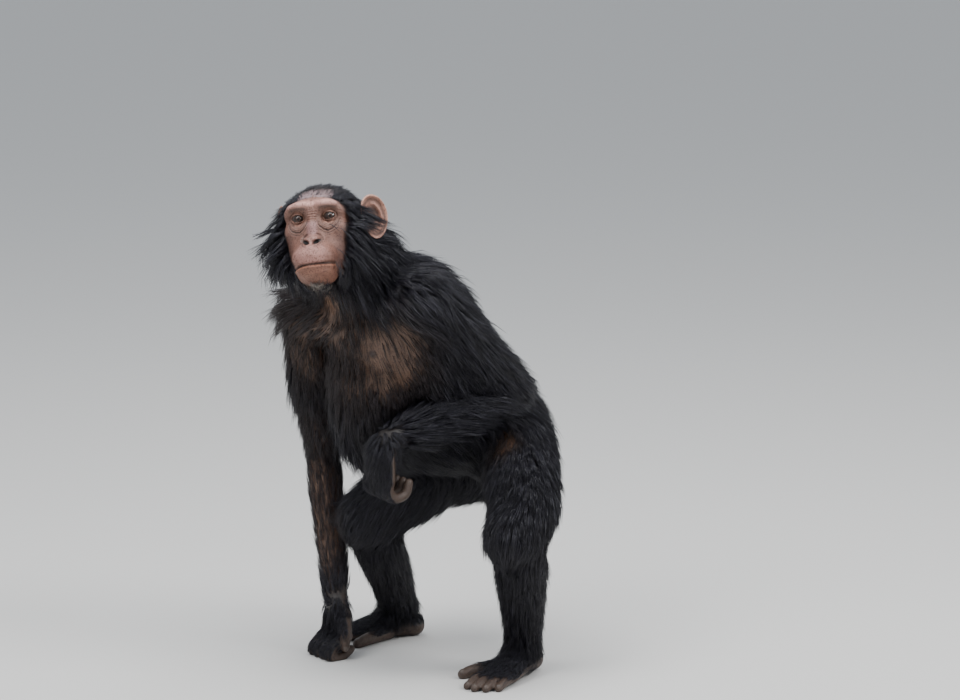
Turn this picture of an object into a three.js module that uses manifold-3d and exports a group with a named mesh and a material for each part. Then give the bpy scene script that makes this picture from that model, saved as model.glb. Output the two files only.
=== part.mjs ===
// A life-size chimpanzee, half crouched, leaning on the knuckles of its right hand,
// with the left forearm lifted and its hand hanging, and the face turned to its left.
// Millimetres. x is the animal's left, y its back, z up. The group's origin is on the
// floor, under the middle of the animal's box.
import * as THREE from "three";
import { mergeVertices } from "three/addons/utils/BufferGeometryUtils.js";
import Module from "manifold-3d";

const wasm = await Module();
wasm.setup();

// Driving dimensions
const GAP = 0.35; // left between touching nodes
const CORE_SHARE = 0.5; // of the coat's depth that the core of a hairy node takes
const LOCK_SINK = 9; // how deep a lock of hair is rooted
const LOCK_THICK = 3.6; // half of a lock's thickness where it is thickest
const HEAD_TURN = 42; // degrees from straight ahead to the animal's left
const HEAD_RAISE = 13; // degrees above level
const HEAD_ROLL = -8; // degrees, the left side of the head held higher
const EYE_RADIUS = 11.5;
const EYE_APART = 26.5; // from the middle of the face to each eye's centre
const EAR_TALL = 37; // half of the ear's height
const EAR_WIDE = 25;
const PRESSED = 2; // how much of each sole and knuckle is pressed flat
const FOOT_TURN = 22; // degrees that each foot points outwards

const V = (x, y, z) => new THREE.Vector3(x, y, z);

// Joints of the skeleton, measured from the floor under the middle of the hips
const JOINT = {
  hip_left: V(72, 9, 372),
  hip_right: V(-69, -9, 368),
  knee_left: V(249, -133, 251),
  knee_right: V(-58, -222, 238),
  ankle_left: V(187, -66, 52),
  ankle_right: V(-132, -100, 50),
  shoulder_left: V(126, -233, 633),
  shoulder_right: V(-96, -310, 593),
  elbow_left: V(99, -42, 468),
  elbow_right: V(-147, -249, 346),
  wrist_left: V(93, -273, 405),
  wrist_right: V(-95, -255, 94),
  eyes: V(54, -388, 780),
};

const MATERIAL = {
  coat: new THREE.MeshStandardMaterial({ color: 0x17161a, roughness: 0.75, metalness: 0 }),
  skin: new THREE.MeshStandardMaterial({ color: 0x9a6852, roughness: 0.6, metalness: 0 }),
  palm: new THREE.MeshStandardMaterial({ color: 0x4a352c, roughness: 0.65, metalness: 0 }),
  eye: new THREE.MeshStandardMaterial({ color: 0x2a170d, roughness: 0.08, metalness: 0 }),
};

// A closed geometry as a solid that can be joined and cut.
function solid(geometry) {
  geometry.deleteAttribute("normal");
  geometry.deleteAttribute("uv");
  const merged = mergeVertices(geometry, 1e-4);
  return new wasm.Manifold(
    new wasm.Mesh({
      numProp: 3,
      vertProperties: merged.attributes.position.array,
      triVerts: new Uint32Array(merged.index.array),
    }),
  );
}

// A sphere whose points are moved: place(u, a) is told how far along the axis a point
// is, from 0 to 1, and its angle round it.
function shaped(around, rings, place) {
  const geometry = new THREE.SphereGeometry(1, around, rings);
  const position = geometry.attributes.position;
  const point = new THREE.Vector3();
  for (let i = 0; i < position.count; i++) {
    point.fromBufferAttribute(position, i);
    const u = 0.5 + Math.asin(THREE.MathUtils.clamp(point.y, -1, 1)) / Math.PI;
    const pole = u < 1e-6 || u > 1 - 1e-6;
    const angle = pole ? 0 : Math.atan2(point.z, point.x);
    const moved = place(u, angle);
    position.setXYZ(i, moved.x, moved.y, moved.z);
  }
  return geometry;
}

const join = (...solids) => solids.flat().reduce((all, next) => all.add(next));

// Keeps the largest closed surface, so that a loose scrap or a sealed hollow goes.
function largest(body) {
  return body.decompose().sort((a, b) => b.volume() - a.volume())[0];
}

// At most this many rings leave only about one for each round end.
const THIN_RINGS = 6;

// A limb, trunk or finger: an ellipse that follows a smooth path and ends round.
// Each station is [centre, half width, half depth]. The width lies along sides.
class Limb {
  constructor(stations, sides, coat = 0, around = 14, rings = 12) {
    this.coat = coat;
    this.path = new THREE.CatmullRomCurve3(stations.map((s) => s[0]));
    this.size = new THREE.CatmullRomCurve3(stations.map((s) => V(s[1], s[2], 0)));
    this.sides = Array.isArray(sides) ? sides : [sides, sides];
    this.around = around;
    this.rings = rings;
    this.length = this.path.getLength();
  }
  // The frame at t: centre, width axis, depth axis, path direction and half sizes.
  frame(t) {
    const s = THREE.MathUtils.clamp(t, 0, 1);
    const along = this.path.getTangent(s);
    const wide = this.sides[0].clone().lerp(this.sides[1], s);
    wide.addScaledVector(along, -wide.dot(along)).normalize();
    const deep = wide.clone().cross(along);
    const size = this.size.getPoint(s);
    return { centre: this.path.getPoint(s), wide, deep, along, size };
  }
  // A point of the surface, lifted along its normal. Past the ends it runs round the cap.
  at(t, angle, lift = 0) {
    const f = this.frame(t);
    const over = t < 0 ? t : Math.max(0, t - 1);
    const reach = Math.min(f.size.x, f.size.y);
    const tilt = THREE.MathUtils.clamp((over * this.length) / reach, -1.5, 1.5);
    const w = (f.size.x + lift) * Math.cos(angle) * Math.cos(tilt);
    const d = (f.size.y + lift) * Math.sin(angle) * Math.cos(tilt);
    return f.centre
      .addScaledVector(f.wide, w)
      .addScaledVector(f.deep, d)
      .addScaledVector(f.along, Math.sin(tilt) * (reach + lift));
  }
  solid(grow = 0) {
    const cap = (this.rings > THIN_RINGS ? 2.4 : 1.5) / this.rings;
    return solid(
      shaped(this.around, this.rings, (u, angle) => {
        const end = u < cap ? -1 : u > 1 - cap ? 1 : 0;
        const t = THREE.MathUtils.clamp((u - cap) / (1 - 2 * cap), 0, 1);
        const f = this.frame(t);
        const edge = end < 0 ? u / cap : end > 0 ? (1 - u) / cap : 1;
        const tilt = ((1 - edge) * Math.PI) / 2;
        const more = grow + this.coat * CORE_SHARE;
        const reach = Math.min(f.size.x, f.size.y) + more;
        return f.centre
          .addScaledVector(f.wide, (f.size.x + more) * Math.cos(angle) * Math.cos(tilt))
          .addScaledVector(f.deep, (f.size.y + more) * Math.sin(angle) * Math.cos(tilt))
          .addScaledVector(f.along, end * Math.sin(tilt) * reach);
      }),
    );
  }
}

// A flat, tapered lock of hair. It is rooted under a surface whose outward direction is
// out, runs along lie for its length, rises to its tip and droops with its weight.
function lock({ start, out, lie, long, width, rise, droop }, grow = 0) {
  const centre = (u) =>
    start
      .clone()
      .addScaledVector(out, -LOCK_SINK + (LOCK_SINK + rise) * Math.pow(Math.max(u, 0), 0.75))
      .addScaledVector(lie, long * u)
      .add(V(0, 0, -droop * u * u));
  const wide = lie.clone().cross(out).normalize();
  return solid(
    shaped(4, 4, (u, angle) => {
      const along = centre(u + 0.05).sub(centre(u - 0.05)).normalize();
      const up = wide.clone().cross(along).normalize();
      const taper = Math.pow(Math.max(0, Math.sin(Math.PI * Math.pow(u, 0.62))), 0.8);
      return centre(u)
        .addScaledVector(along, grow * (2 * u - 1))
        .addScaledVector(wide, (width * taper + grow) * Math.cos(angle))
        .addScaledVector(up, (LOCK_THICK * taper + grow) * Math.sin(angle));
    }),
  );
}

// A seeded draw between -1 and 1, so that every build is the same.
let seed = 7;
function draw() {
  seed = (seed * 16807) % 2147483647;
  return (2 * seed) / 2147483647 - 1;
}

// Trunk, neck, arms and legs. The coat's depth is the number after each limb's sides.
const ACROSS = V(1, 0, 0);
const CHEST_ACROSS = V(222, 77, 40).normalize();
const UPRIGHT = V(0, 0, 1);
const DOWN = V(0, 0, -1);
const BACK = V(0, 1, 0);
const J = JOINT;
const LIMB = {
  pelvis: new Limb(
    [
      [V(0, 26, 330), 70, 56],
      [V(0, 8, 366), 98, 80],
      [V(2, -34, 412), 101, 88],
      [V(6, -80, 454), 103, 90],
      [V(8, -112, 480), 88, 76],
    ],
    ACROSS, 16, 14, 10,
  ),
  chest: new Limb(
    [
      [V(8, -96, 468), 104, 89],
      [V(11, -156, 528), 119, 100],
      [V(14, -208, 580), 128, 105],
      [V(16, -246, 622), 112, 92],
      [V(18, -268, 648), 76, 68],
    ],
    [ACROSS, CHEST_ACROSS], 24, 16, 12,
  ),
  belly: new Limb(
    [
      [V(-6, -100, 404), 78, 76],
      [V(-20, -186, 434), 82, 89],
      [V(-6, -218, 500), 92, 86],
    ],
    ACROSS, 16, 12, 8,
  ),
  neck: new Limb(
    [
      [V(12, -250, 622), 58, 56],
      [V(20, -298, 692), 63, 66],
      [V(22, -324, 724), 54, 58],
    ],
    [CHEST_ACROSS, V(0.74, 0.65, 0.1)], 26, 12, 8,
  ),
  buttock_left: new Limb([[V(50, 28, 328), 54, 52], [V(80, -4, 334), 54, 54]], UPRIGHT, 16, 12, 7),
  buttock_right: new Limb([[V(-46, 30, 312), 54, 52], [V(-72, -28, 306), 56, 58]], UPRIGHT, 16, 12, 7),
  shoulder_left: new Limb([[V(52, -236, 620), 62, 60], [J.shoulder_left, 43, 43]], BACK, 20, 12, 7),
  shoulder_right: new Limb([[V(-20, -276, 598), 58, 54], [J.shoulder_right, 38, 38]], BACK, 20, 12, 7),
};

// A tapered limb between two joints. Each size is [how far along, half width, half
// depth, how far it is pushed along the bow].
function between(a, b, sizes, sides, coat, bow = V(0, 0, 0)) {
  const stations = sizes.map(([t, w, d, push = 0]) => [
    a.clone().lerp(b, t).addScaledVector(bow, push),
    w,
    d,
  ]);
  return new Limb(stations, sides, coat, 10, 8);
}
LIMB.arm_left = between(
  J.shoulder_left, J.elbow_left,
  [[0, 38, 38], [0.3, 41, 42], [0.65, 37, 39], [1, 31, 32]], V(0.3, 1, 0), 24,
);
LIMB.arm_right = between(
  J.shoulder_right, J.elbow_right,
  [[0, 34, 36], [0.3, 35, 36], [0.65, 29, 31], [1, 24, 26]], V(0.3, 1, 0), 11,
);
LIMB.forearm_left = between(
  J.elbow_left, J.wrist_left,
  [[0, 27, 29], [0.25, 33, 33], [0.6, 27, 28], [1, 23, 19]], V(0.5, 0, 0.86), 18,
);
LIMB.forearm_right = between(
  J.elbow_right, J.wrist_right,
  [[0, 22, 24], [0.25, 25, 28], [0.6, 22, 23], [1, 19, 17]], V(1, 0.3, 0), 7,
);
LIMB.thigh_left = between(
  J.hip_left, J.knee_left,
  [[0, 52, 52, -4], [0.4, 52, 54, 8], [0.75, 46, 50, 13], [1, 40, 42, 0]], UPRIGHT, 14, V(0.6, 0.8, 0),
);
LIMB.thigh_right = between(
  J.hip_right, J.knee_right,
  [[0, 58, 54, 10], [0.4, 60, 52, 18], [0.75, 50, 47, 8], [1, 42, 42, 0]], UPRIGHT, 14, DOWN,
);
LIMB.shank_left = between(
  J.knee_left, J.ankle_left,
  [[0, 34, 36, 8], [0.3, 33, 38, 10], [0.65, 27, 30, 6], [1, 21, 24, 0]], ACROSS, 9, BACK,
);
LIMB.shank_right = between(
  J.knee_right, J.ankle_right,
  [[0, 34, 36, 6], [0.3, 33, 37, 8], [0.65, 27, 30, 6], [1, 21, 24, 0]], ACROSS, 9, BACK,
);

// Hands and feet. A digit is a thin limb through its joints.
const digit = (points, sizes, across) =>
  new Limb(points.map((p, i) => [p, sizes[i], sizes[i]]), across, 0, 6, THIN_RINGS);

// Right hand, standing on the backs of its folded fingers
const KNUCKLES = V(-85, -259, 0);
const handRight = [
  new Limb(
    [
      [J.wrist_right.clone().add(V(0, 0, 4)), 21, 17],
      [J.wrist_right.clone().add(V(4, 0, -26)), 33, 16],
      [KNUCKLES.clone().add(V(0, 2, 42)), 36, 14],
    ],
    ACROSS, 2, 10, 8,
  ),
  ...[-27, -9.5, 9, 26].map((x, i) =>
    digit(
      [
        V(x, 2, 40), V(x, -24, 24), V(x, -33, i === 0 || i === 3 ? 6.5 : 5.5),
        V(x, -10, 4.5), V(x, 9, 17),
      ].map((p) => p.add(KNUCKLES)),
      [11, 10.5, 10, 9.5, 8.4],
      ACROSS,
    ),
  ),
  digit(
    [V(22, 0, 66), V(36, -8, 46), V(38, -10, 24)].map((p) => p.add(KNUCKLES)),
    [12, 10, 8], ACROSS,
  ),
];

// Left hand, hanging from its bent wrist with the fingers curled to the palm
const HANG = V(93, -278, 345);
const handLeft = [
  new Limb(
    [
      [J.wrist_left.clone().add(V(0, 0, 2)), 23, 19],
      [V(93, -286, 378), 34, 17],
      [HANG.clone().add(V(0, -10, -2)), 38, 14],
    ],
    ACROSS, 3, 10, 8,
  ),
  ...[-28, -9.5, 9.5, 28].map((x, i) =>
    digit(
      [V(x, -12, -2), V(x, -13, -18 - i), V(x, 2, -28 - i), V(x, 20, -22 - i), V(x, 27, -7)].map((p) =>
        p.add(HANG),
      ),
      [10.5, 10, 9.5, 9, 8],
      ACROSS,
    ),
  ),
  digit([V(-26, 0, 28), V(-38, 14, 4), V(-32, 26, -14)].map((p) => p.add(HANG)), [12, 10, 8], ACROSS),
];

// A foot, flat on the floor, from its ankle: inner is 1 when its big toe is at +x.
function foot(ankle, inner) {
  const turn = inner * FOOT_TURN * (Math.PI / 180);
  const place = (x, y, z) =>
    V(-inner * x, y, z).applyAxisAngle(UPRIGHT, -turn).add(V(ankle.x, ankle.y, 0));
  const across = V(1, 0, 0).applyAxisAngle(UPRIGHT, -turn);
  const toes = [[-19, -84, 56], [-3, -88, 58], [13, -85, 54], [27, -78, 46]].map(([x, y, long]) =>
    digit(
      [
        place(x * 0.9, y + 14, 16), place(x, y - 8, 15),
        place(x * 1.08, y - long * 0.6, 14), place(x * 1.1, y - long, 7),
      ],
      [10, 9, 8.6, 7.6],
      across,
    ),
  );
  return [
    new Limb(
      [
        [place(0, 24, 20), 21, 20],
        [place(0, 2, 26), 25, 25],
        [place(1, -34, 22), 29, 21],
        [place(3, -72, 14), 34, 15],
        [place(3, -88, 12), 33, 12],
      ],
      across, 0, 10, 8,
    ),
    new Limb([[place(0, 4, 50), 23, 26], [place(0, -20, 31), 24, 24]], across, 3, 9, 6),
    ...toes,
    digit(
      [place(-18, -26, 16), place(-38, -50, 14), place(-54, -70, 13), place(-64, -88, 8)],
      [15, 12, 11, 9.5],
      across,
    ),
  ];
}

// Head. Its own frame has its origin between the eyes' centres, y to the back of it.
const HEAD_CENTRE = V(0, 24, -24);
const FORMS = [
  // centre, half sizes, how softly it runs into the rest
  [V(0, 58, 8), V(60, 68, 47), 10],
  [V(0, 52, -34), V(52, 54, 44), 14],
  [V(0, 10, 12), V(45, 20, 16), 14],
  [V(22, -3, 17), V(21, 11, 7), 8],
  [V(-22, -3, 17), V(21, 11, 7), 8],
  [V(41, 7, 7), V(10, 13, 12), 10],
  [V(-41, 7, 7), V(10, 13, 12), 10],
  [V(0, 12, -30), V(46, 34, 46), 12],
  [V(37, 8, -21), V(16, 18, 14), 14],
  [V(-37, 8, -21), V(16, 18, 14), 14],
  [V(0, -14, -66), V(36, 38, 28), 20],
  [V(0, -31, -67), V(31, 26, 17), 12],
  [V(0, -6, -94), V(32, 34, 18), 14],
  [V(0, -28, -90), V(27, 23, 12), 10],
  [V(0, -10, -22), V(7, 14, 20), 10],
  [V(0, -28, -37), V(7.5, 9, 6.5), 6],
  [V(8.5, -26, -40), V(6.5, 9, 5), 4],
  [V(-8.5, -26, -40), V(6.5, 9, 5), 4],
  [V(28, 34, -56), V(24, 38, 36), 20],
  [V(-28, 34, -56), V(24, 38, 36), 20],
];
const SOCKETS = [V(EYE_APART - 1, -19, -1), V(1 - EYE_APART, -19, -1)];
const SOCKET_SIZE = V(15, 12, 9);
const SOCKET_SOFT = 9;

// About how far a point is outside an ellipsoid.
function outside(p, centre, size) {
  const q = p.clone().sub(centre).divide(size);
  const k0 = q.length();
  const k1 = q.divide(size).length();
  return k1 < 1e-9 ? -Math.min(size.x, size.y, size.z) : (k0 * (k0 - 1)) / k1;
}
// The head's field: negative inside, its forms run softly into each other.
function headField(p) {
  let field = 1e3;
  for (const [centre, size, soft] of FORMS) {
    const d = outside(p, centre, size);
    const h = THREE.MathUtils.clamp(0.5 + (0.5 * (field - d)) / soft, 0, 1);
    field = THREE.MathUtils.lerp(field, d, h) - soft * h * (1 - h);
  }
  for (const socket of SOCKETS) {
    const d = -outside(p, socket, SOCKET_SIZE);
    const h = THREE.MathUtils.clamp(0.5 - (0.5 * (field - d)) / SOCKET_SOFT, 0, 1);
    field = THREE.MathUtils.lerp(field, d, h) + SOCKET_SOFT * h * (1 - h);
  }
  return field;
}
// Where a ray from the head's centre leaves it, searched from the outside in.
function headReach(direction) {
  let far = 150;
  while (far > 5 && headField(HEAD_CENTRE.clone().addScaledVector(direction, far)) > 0) far -= 3;
  let near = far;
  far += 3;
  for (let i = 0; i < 12; i++) {
    const middle = (near + far) / 2;
    if (headField(HEAD_CENTRE.clone().addScaledVector(direction, middle)) > 0) far = middle;
    else near = middle;
  }
  return near;
}
// A direction by its angle from straight ahead and its angle round, 0 at the left, up at 90.
function headDirection(polar, angle) {
  return V(
    Math.sin(polar) * Math.cos(angle),
    -Math.cos(polar),
    Math.sin(polar) * Math.sin(angle),
  );
}
function headPoint(polar, angle, lift = 0) {
  const direction = headDirection(polar, angle);
  return HEAD_CENTRE.clone().addScaledVector(direction, headReach(direction) + lift);
}
// The depth of the face's surface in front, at x and z.
function faceDepth(x, z) {
  let y = -90;
  while (y < 60 && headField(V(x, y, z)) > 0) y += 1;
  return y;
}

// The coat's depth over the head, none on the face and deepest on the cheeks and nape.
function headCoat(direction) {
  const side = Math.abs(direction.x);
  const bare = THREE.MathUtils.smoothstep(-direction.y, -0.05, 0.42 - 0.3 * side * side);
  const low = THREE.MathUtils.smoothstep(-direction.z, -0.35, 0.35);
  return (1 - bare) * THREE.MathUtils.lerp(12, 34, low * Math.min(1, side * 1.6 + 0.4));
}

const HEAD_AROUND = 28;
const HEAD_RINGS = 23;
const FRONT_SHARE = 1.5; // above 1 sets the rings closer on the face
function headCore(grow) {
  return solid(
    shaped(HEAD_AROUND, HEAD_RINGS, (u, angle) => {
      const polar = Math.PI * Math.pow(1 - u, FRONT_SHARE);
      const coat = headCoat(headDirection(polar, -angle)) * CORE_SHARE;
      return headPoint(polar, -angle, grow + coat);
    }),
  );
}

// A rod along a few points on the face, such as a lid, a lip or a fold.
function rod(points, radius, around = 5, rings = 9, flat = 1) {
  const stations = points.map((p, i) => {
    const end = i === 0 || i === points.length - 1;
    const r = end ? radius * 0.6 : radius;
    return [p, r, r * flat];
  });
  return new Limb(stations, V(0.02, 0.05, 1), 0, around, rings).solid();
}

const MOUTH_HALF = 35;
const mouthHeight = (x) => -81 - 4 * Math.pow(x / MOUTH_HALF, 2);
function mouthLine(sink, drop) {
  return [-1, -0.75, -0.4, 0, 0.4, 0.75, 1].map((s) => {
    const x = s * MOUTH_HALF;
    const z = mouthHeight(x) + drop;
    return V(x, faceDepth(x, z) + sink, z);
  });
}

function lid(side, upper, rise, swell) {
  const points = [-1, -0.5, 0, 0.5, 1].map((s) => {
    const lon = s * 0.98;
    const lat = rise * Math.cos((s * Math.PI) / 2);
    const r = EYE_RADIUS + swell;
    return V(
      side * EYE_APART + r * Math.sin(lon) * Math.cos(lat),
      -r * Math.cos(lon) * Math.cos(lat),
      r * Math.sin(lat) + (upper ? 0.4 : -0.4) + 0.8 * s * side,
    );
  });
  return rod(points, 2.1, 5, 7);
}

function headSolid() {
  let head = headCore(0);
  const lips = [rod(mouthLine(1.5, 3.4), 3.4, 5, 9), rod(mouthLine(1, -3.6), 3.2, 5, 9)];
  head = join(head, lips);
  head = head.subtract(rod(mouthLine(0, 0), 1.1, 5, 9, 3.4));
  for (const side of [-1, 1]) {
    const nostril = new Limb(
      [
        [V(side * 5.8, -37, -44), 3.4, 2.5],
        [V(side * 5, -25, -37), 2.4, 2],
      ],
      ACROSS, 0, 6, 6,
    );
    const eye = solid(new THREE.SphereGeometry(EYE_RADIUS + GAP, 10, 8));
    const lids = [lid(side, true, 0.42, 1.6), lid(side, false, -0.36, 1.6), lid(side, false, -0.75, 2.4)];
    head = join(head, lids).subtract(nostril.solid());
    head = head.subtract(eye.translate([side * EYE_APART, 0, 0]));
  }
  return head;
}

// The ear's own cup, in the head's frame: a bowl with a rolled rim and an inner ridge.
function earSolid(side) {
  const outer = solid(
    shaped(10, 8, (u, angle) => bowl(u, angle, EAR_WIDE, EAR_TALL, 12)),
  );
  const inner = solid(
    shaped(8, 6, (u, angle) => bowl(u, angle, EAR_WIDE - 3.5, EAR_TALL - 4, 10).add(V(4.5, 0, 0))),
  );
  const rim = [];
  for (let i = 0; i <= 10; i++) {
    const a = -1.9 + (i / 10) * 4.3;
    rim.push(V(3.5, (EAR_WIDE - 2.2) * Math.cos(a), (EAR_TALL - 2.2) * Math.sin(a)));
  }
  const ridge = [];
  for (let i = 0; i <= 6; i++) {
    const a = -1.2 + (i / 6) * 2.6;
    ridge.push(V(-1, 2 + (EAR_WIDE - 13) * Math.cos(a), -2 + (EAR_TALL - 16) * Math.sin(a)));
  }
  const cut = solid(new THREE.BoxGeometry(60, 90, 110)).translate([33, 0, 0]);
  let ear = outer.subtract(inner).subtract(cut);
  ear = join(ear, rod(rim, 3.1, 5, 9), rod(ridge, 2.6, 4, 6));
  const flip = new THREE.Matrix4()
    .makeRotationFromEuler(new THREE.Euler(0, side * -0.12, side > 0 ? -0.8 : 0.45, "ZYX"))
    .premultiply(new THREE.Matrix4().setPosition(side > 0 ? V(83, 60, -2) : V(-73, 66, -4)));
  const mirrored = side < 0 ? ear.mirror([1, 0, 0]) : ear;
  return mirrored.transform(flip.elements);
}
function bowl(u, angle, wide, tall, deep) {
  const polar = Math.PI * (1 - u);
  return V(
    deep * Math.sin(polar) * Math.cos(angle),
    wide * Math.sin(polar) * Math.sin(angle) * -1,
    tall * Math.cos(polar),
  );
}

const headMatrix = new THREE.Matrix4()
  .makeRotationZ(THREE.MathUtils.degToRad(HEAD_TURN))
  .multiply(new THREE.Matrix4().makeRotationX(THREE.MathUtils.degToRad(-HEAD_RAISE)))
  .multiply(new THREE.Matrix4().makeRotationY(THREE.MathUtils.degToRad(HEAD_ROLL)))
  .setPosition(J.eyes);

// Nodes, each core trimmed clear of those made before it
const nodes = [];
function node(name, material, thin, fat) {
  let body = thin;
  for (const earlier of nodes) body = body.subtract(earlier.fat);
  nodes.push({ name, material, body: largest(body), fat, locks: [] });
}
const limbNode = (name, parts, material) =>
  node(name, material, join(parts.map((p) => p.solid())), join(parts.map((p) => p.solid(GAP))));

// Rows of the ruff: degrees from straight ahead, how many, from and to round the head
// in degrees (0 left, 90 up), length and rise
const RUFF = [
  [80, 3, -48, -8, 52, 22],
  [80, 3, 188, 228, 52, 22],
  [102, 4, -52, 4, 60, 20],
  [102, 4, 176, 232, 60, 20],
  [132, 4, 160, 380, 66, 14],
];

const inPlace = (body) => body.transform(headMatrix.elements);
const eyes = [];
for (const side of [1, -1]) {
  const ball = (grow) =>
    inPlace(
      solid(new THREE.SphereGeometry(EYE_RADIUS + grow, 10, 8)).translate([side * EYE_APART, 0, 0]),
    );
  eyes.push({ name: side > 0 ? "eye_left" : "eye_right", material: MATERIAL.eye, body: ball(0) });
}
node("head", MATERIAL.skin, inPlace(headSolid()), inPlace(headCore(GAP)));
for (const side of [1, -1]) {
  const ear = inPlace(earSolid(side));
  node(side > 0 ? "ear_left" : "ear_right", MATERIAL.skin, ear, ear);
}
limbNode("chest", [LIMB.chest, LIMB.shoulder_left, LIMB.shoulder_right], MATERIAL.coat);
limbNode("neck", [LIMB.neck], MATERIAL.coat);
limbNode("pelvis", [LIMB.pelvis, LIMB.belly, LIMB.buttock_left, LIMB.buttock_right], MATERIAL.coat);
for (const side of ["left", "right"]) {
  limbNode("arm_" + side, [LIMB["arm_" + side]], MATERIAL.coat);
  limbNode("forearm_" + side, [LIMB["forearm_" + side]], MATERIAL.coat);
  limbNode("thigh_" + side, [LIMB["thigh_" + side]], MATERIAL.coat);
  limbNode("shank_" + side, [LIMB["shank_" + side]], MATERIAL.coat);
}
limbNode("hand_left", handLeft, MATERIAL.palm);
limbNode("hand_right", handRight, MATERIAL.palm);
limbNode("foot_left", foot(J.ankle_left, -1), MATERIAL.palm);
limbNode("foot_right", foot(J.ankle_right, 1), MATERIAL.palm);

// What stands on the floor has small flats there
const floor = solid(new THREE.BoxGeometry(2000, 2000, 100)).translate([0, 0, PRESSED - 50]);
for (const each of nodes) each.body = each.body.subtract(floor);

// Locks of hair over a limb: rows of them round the side that faces, each half a step
// on from the row before
function dress(name, limb, rows) {
  const owner = nodes.find((each) => each.name === name);
  for (const { from, to, count, faces, spread, long, width, rise, droop = 0, back = false } of rows) {
    for (let row = 0; row < count[0]; row++) {
      const t = THREE.MathUtils.lerp(from, to, (row + 0.5) / count[0]) + 0.02 * draw();
      const f = limb.frame(t);
      const middle = Math.atan2(faces.dot(f.deep), faces.dot(f.wide));
      for (let i = 0; i < count[1]; i++) {
        const step = (i + (row % 2 ? 0.75 : 0.25)) / count[1];
        const angle = middle + spread * (2 * step - 1) + 0.06 * draw();
        const start = limb.at(t, angle, limb.coat * CORE_SHARE);
        const out = start.clone().sub(limb.frame(t).centre);
        out.addScaledVector(f.along, -out.dot(f.along)).normalize();
        const lie = f.along.clone().multiplyScalar(back ? -1 : 1);
        lie.add(V(0, 0, -droop / long)).addScaledVector(out, -lie.dot(out)).normalize();
        const size = 1 + 0.15 * draw();
        owner.locks.push({ start, out, lie, long: long * size, width, rise: rise * size, droop });
      }
    }
  }
}
dress("neck", LIMB.neck, [
  {
    from: 0.25, to: 0.95, count: [2, 4], faces: V(0.3, 1, 0.4), spread: 1.6,
    long: 86, width: 19, rise: 15, back: true, droop: 8,
  },
]);
dress("chest", LIMB.chest, [
  {
    from: 0.2, to: 1.0, count: [3, 4], faces: V(0, 0.6, 0.8), spread: 1.2,
    long: 100, width: 24, rise: 14, back: true, droop: 6,
  },
]);
dress("chest", LIMB.shoulder_left, [
  {
    from: 0.4, to: 0.95, count: [2, 3], faces: V(0, 0, 1), spread: 1.2,
    long: 54, width: 18, rise: 16, droop: 34,
  },
]);
dress("chest", LIMB.shoulder_right, [
  {
    from: 0.5, to: 0.95, count: [2, 3], faces: V(0, -0.2, 1), spread: 1.2,
    long: 50, width: 17, rise: 14, droop: 34,
  },
]);
dress("pelvis", LIMB.pelvis, [
  {
    from: 0.15, to: 0.8, count: [2, 4], faces: V(0, 0.7, 0.7), spread: 1.3,
    long: 96, width: 23, rise: 10, back: true, droop: 8,
  },
]);
dress("arm_left", LIMB.arm_left, [
  {
    from: 0.1, to: 0.9, count: [3, 3], faces: V(0.7, 0.3, 0.6), spread: 1.3,
    long: 88, width: 19, rise: 13, droop: 12,
  },
]);
dress("arm_right", LIMB.arm_right, [
  {
    from: 0.1, to: 0.9, count: [3, 2], faces: V(-0.8, 0.4, 0), spread: 1.5,
    long: 74, width: 15, rise: 8,
  },
]);
dress("forearm_left", LIMB.forearm_left, [
  {
    from: 0.3, to: 0.95, count: [3, 3], faces: V(0.6, 0, -0.6), spread: 1.5,
    long: 64, width: 15, rise: 11, back: true, droop: 10,
  },
]);
dress("forearm_right", LIMB.forearm_right, [
  {
    from: 0.2, to: 0.75, count: [2, 2], faces: V(-0.8, 0.7, 0), spread: 1,
    long: 54, width: 13, rise: 6, back: true,
  },
]);
dress("thigh_left", LIMB.thigh_left, [
  {
    from: 0.3, to: 0.85, count: [2, 3], faces: V(0.4, 0.9, 0), spread: 1.6,
    long: 66, width: 19, rise: 8, droop: 14,
  },
]);
dress("thigh_right", LIMB.thigh_right, [
  {
    from: 0.3, to: 0.85, count: [2, 3], faces: V(-0.6, -0.2, -0.2), spread: 1.6,
    long: 64, width: 19, rise: 8, droop: 12,
  },
]);
for (const side of ["left", "right"]) {
  dress("shank_" + side, LIMB["shank_" + side], [
    {
      from: 0.15, to: 0.65, count: [2, 2], faces: V(0.3, 0.9, 0), spread: 1.3,
      long: 60, width: 16, rise: 7,
    },
  ]);
}

// The ruff: locks of the cheeks, jaw and nape, in the head's own frame
const headNode = nodes.find((each) => each.name === "head");
for (const [polar, count, from, to, long, rise] of RUFF) {
  for (let i = 0; i < count; i++) {
    const angle = THREE.MathUtils.degToRad(THREE.MathUtils.lerp(from, to, i / (count - 1)) + 3 * draw());
    const out = headDirection(THREE.MathUtils.degToRad(polar), angle);
    const lift = headCoat(out) * CORE_SHARE;
    const start = headPoint(THREE.MathUtils.degToRad(polar), angle, lift);
    const lie = V(0.25 * Math.sign(out.x), 0.85, -0.75);
    lie.addScaledVector(out, -lie.dot(out)).normalize();
    const turned = (v) => v.transformDirection(headMatrix);
    headNode.locks.push({
      start: start.applyMatrix4(headMatrix), out: turned(out), lie: turned(lie),
      long: long * (1 + 0.15 * draw()), width: 18, rise, droop: 10,
    });
  }
}

// Each node's locks are cut clear of the other nodes and of the locks made before
const placed = [];
for (const each of nodes) {
  if (!each.locks.length) continue;
  let locks = join(each.locks.map((spec) => lock(spec)));
  for (const other of nodes) if (other !== each) locks = locks.subtract(other.fat);
  for (const earlier of placed) locks = locks.subtract(earlier);
  placed.push(join(each.locks.map((spec) => lock(spec, GAP))));
  each.body = largest(each.body.add(locks.subtract(floor)));
}

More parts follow.
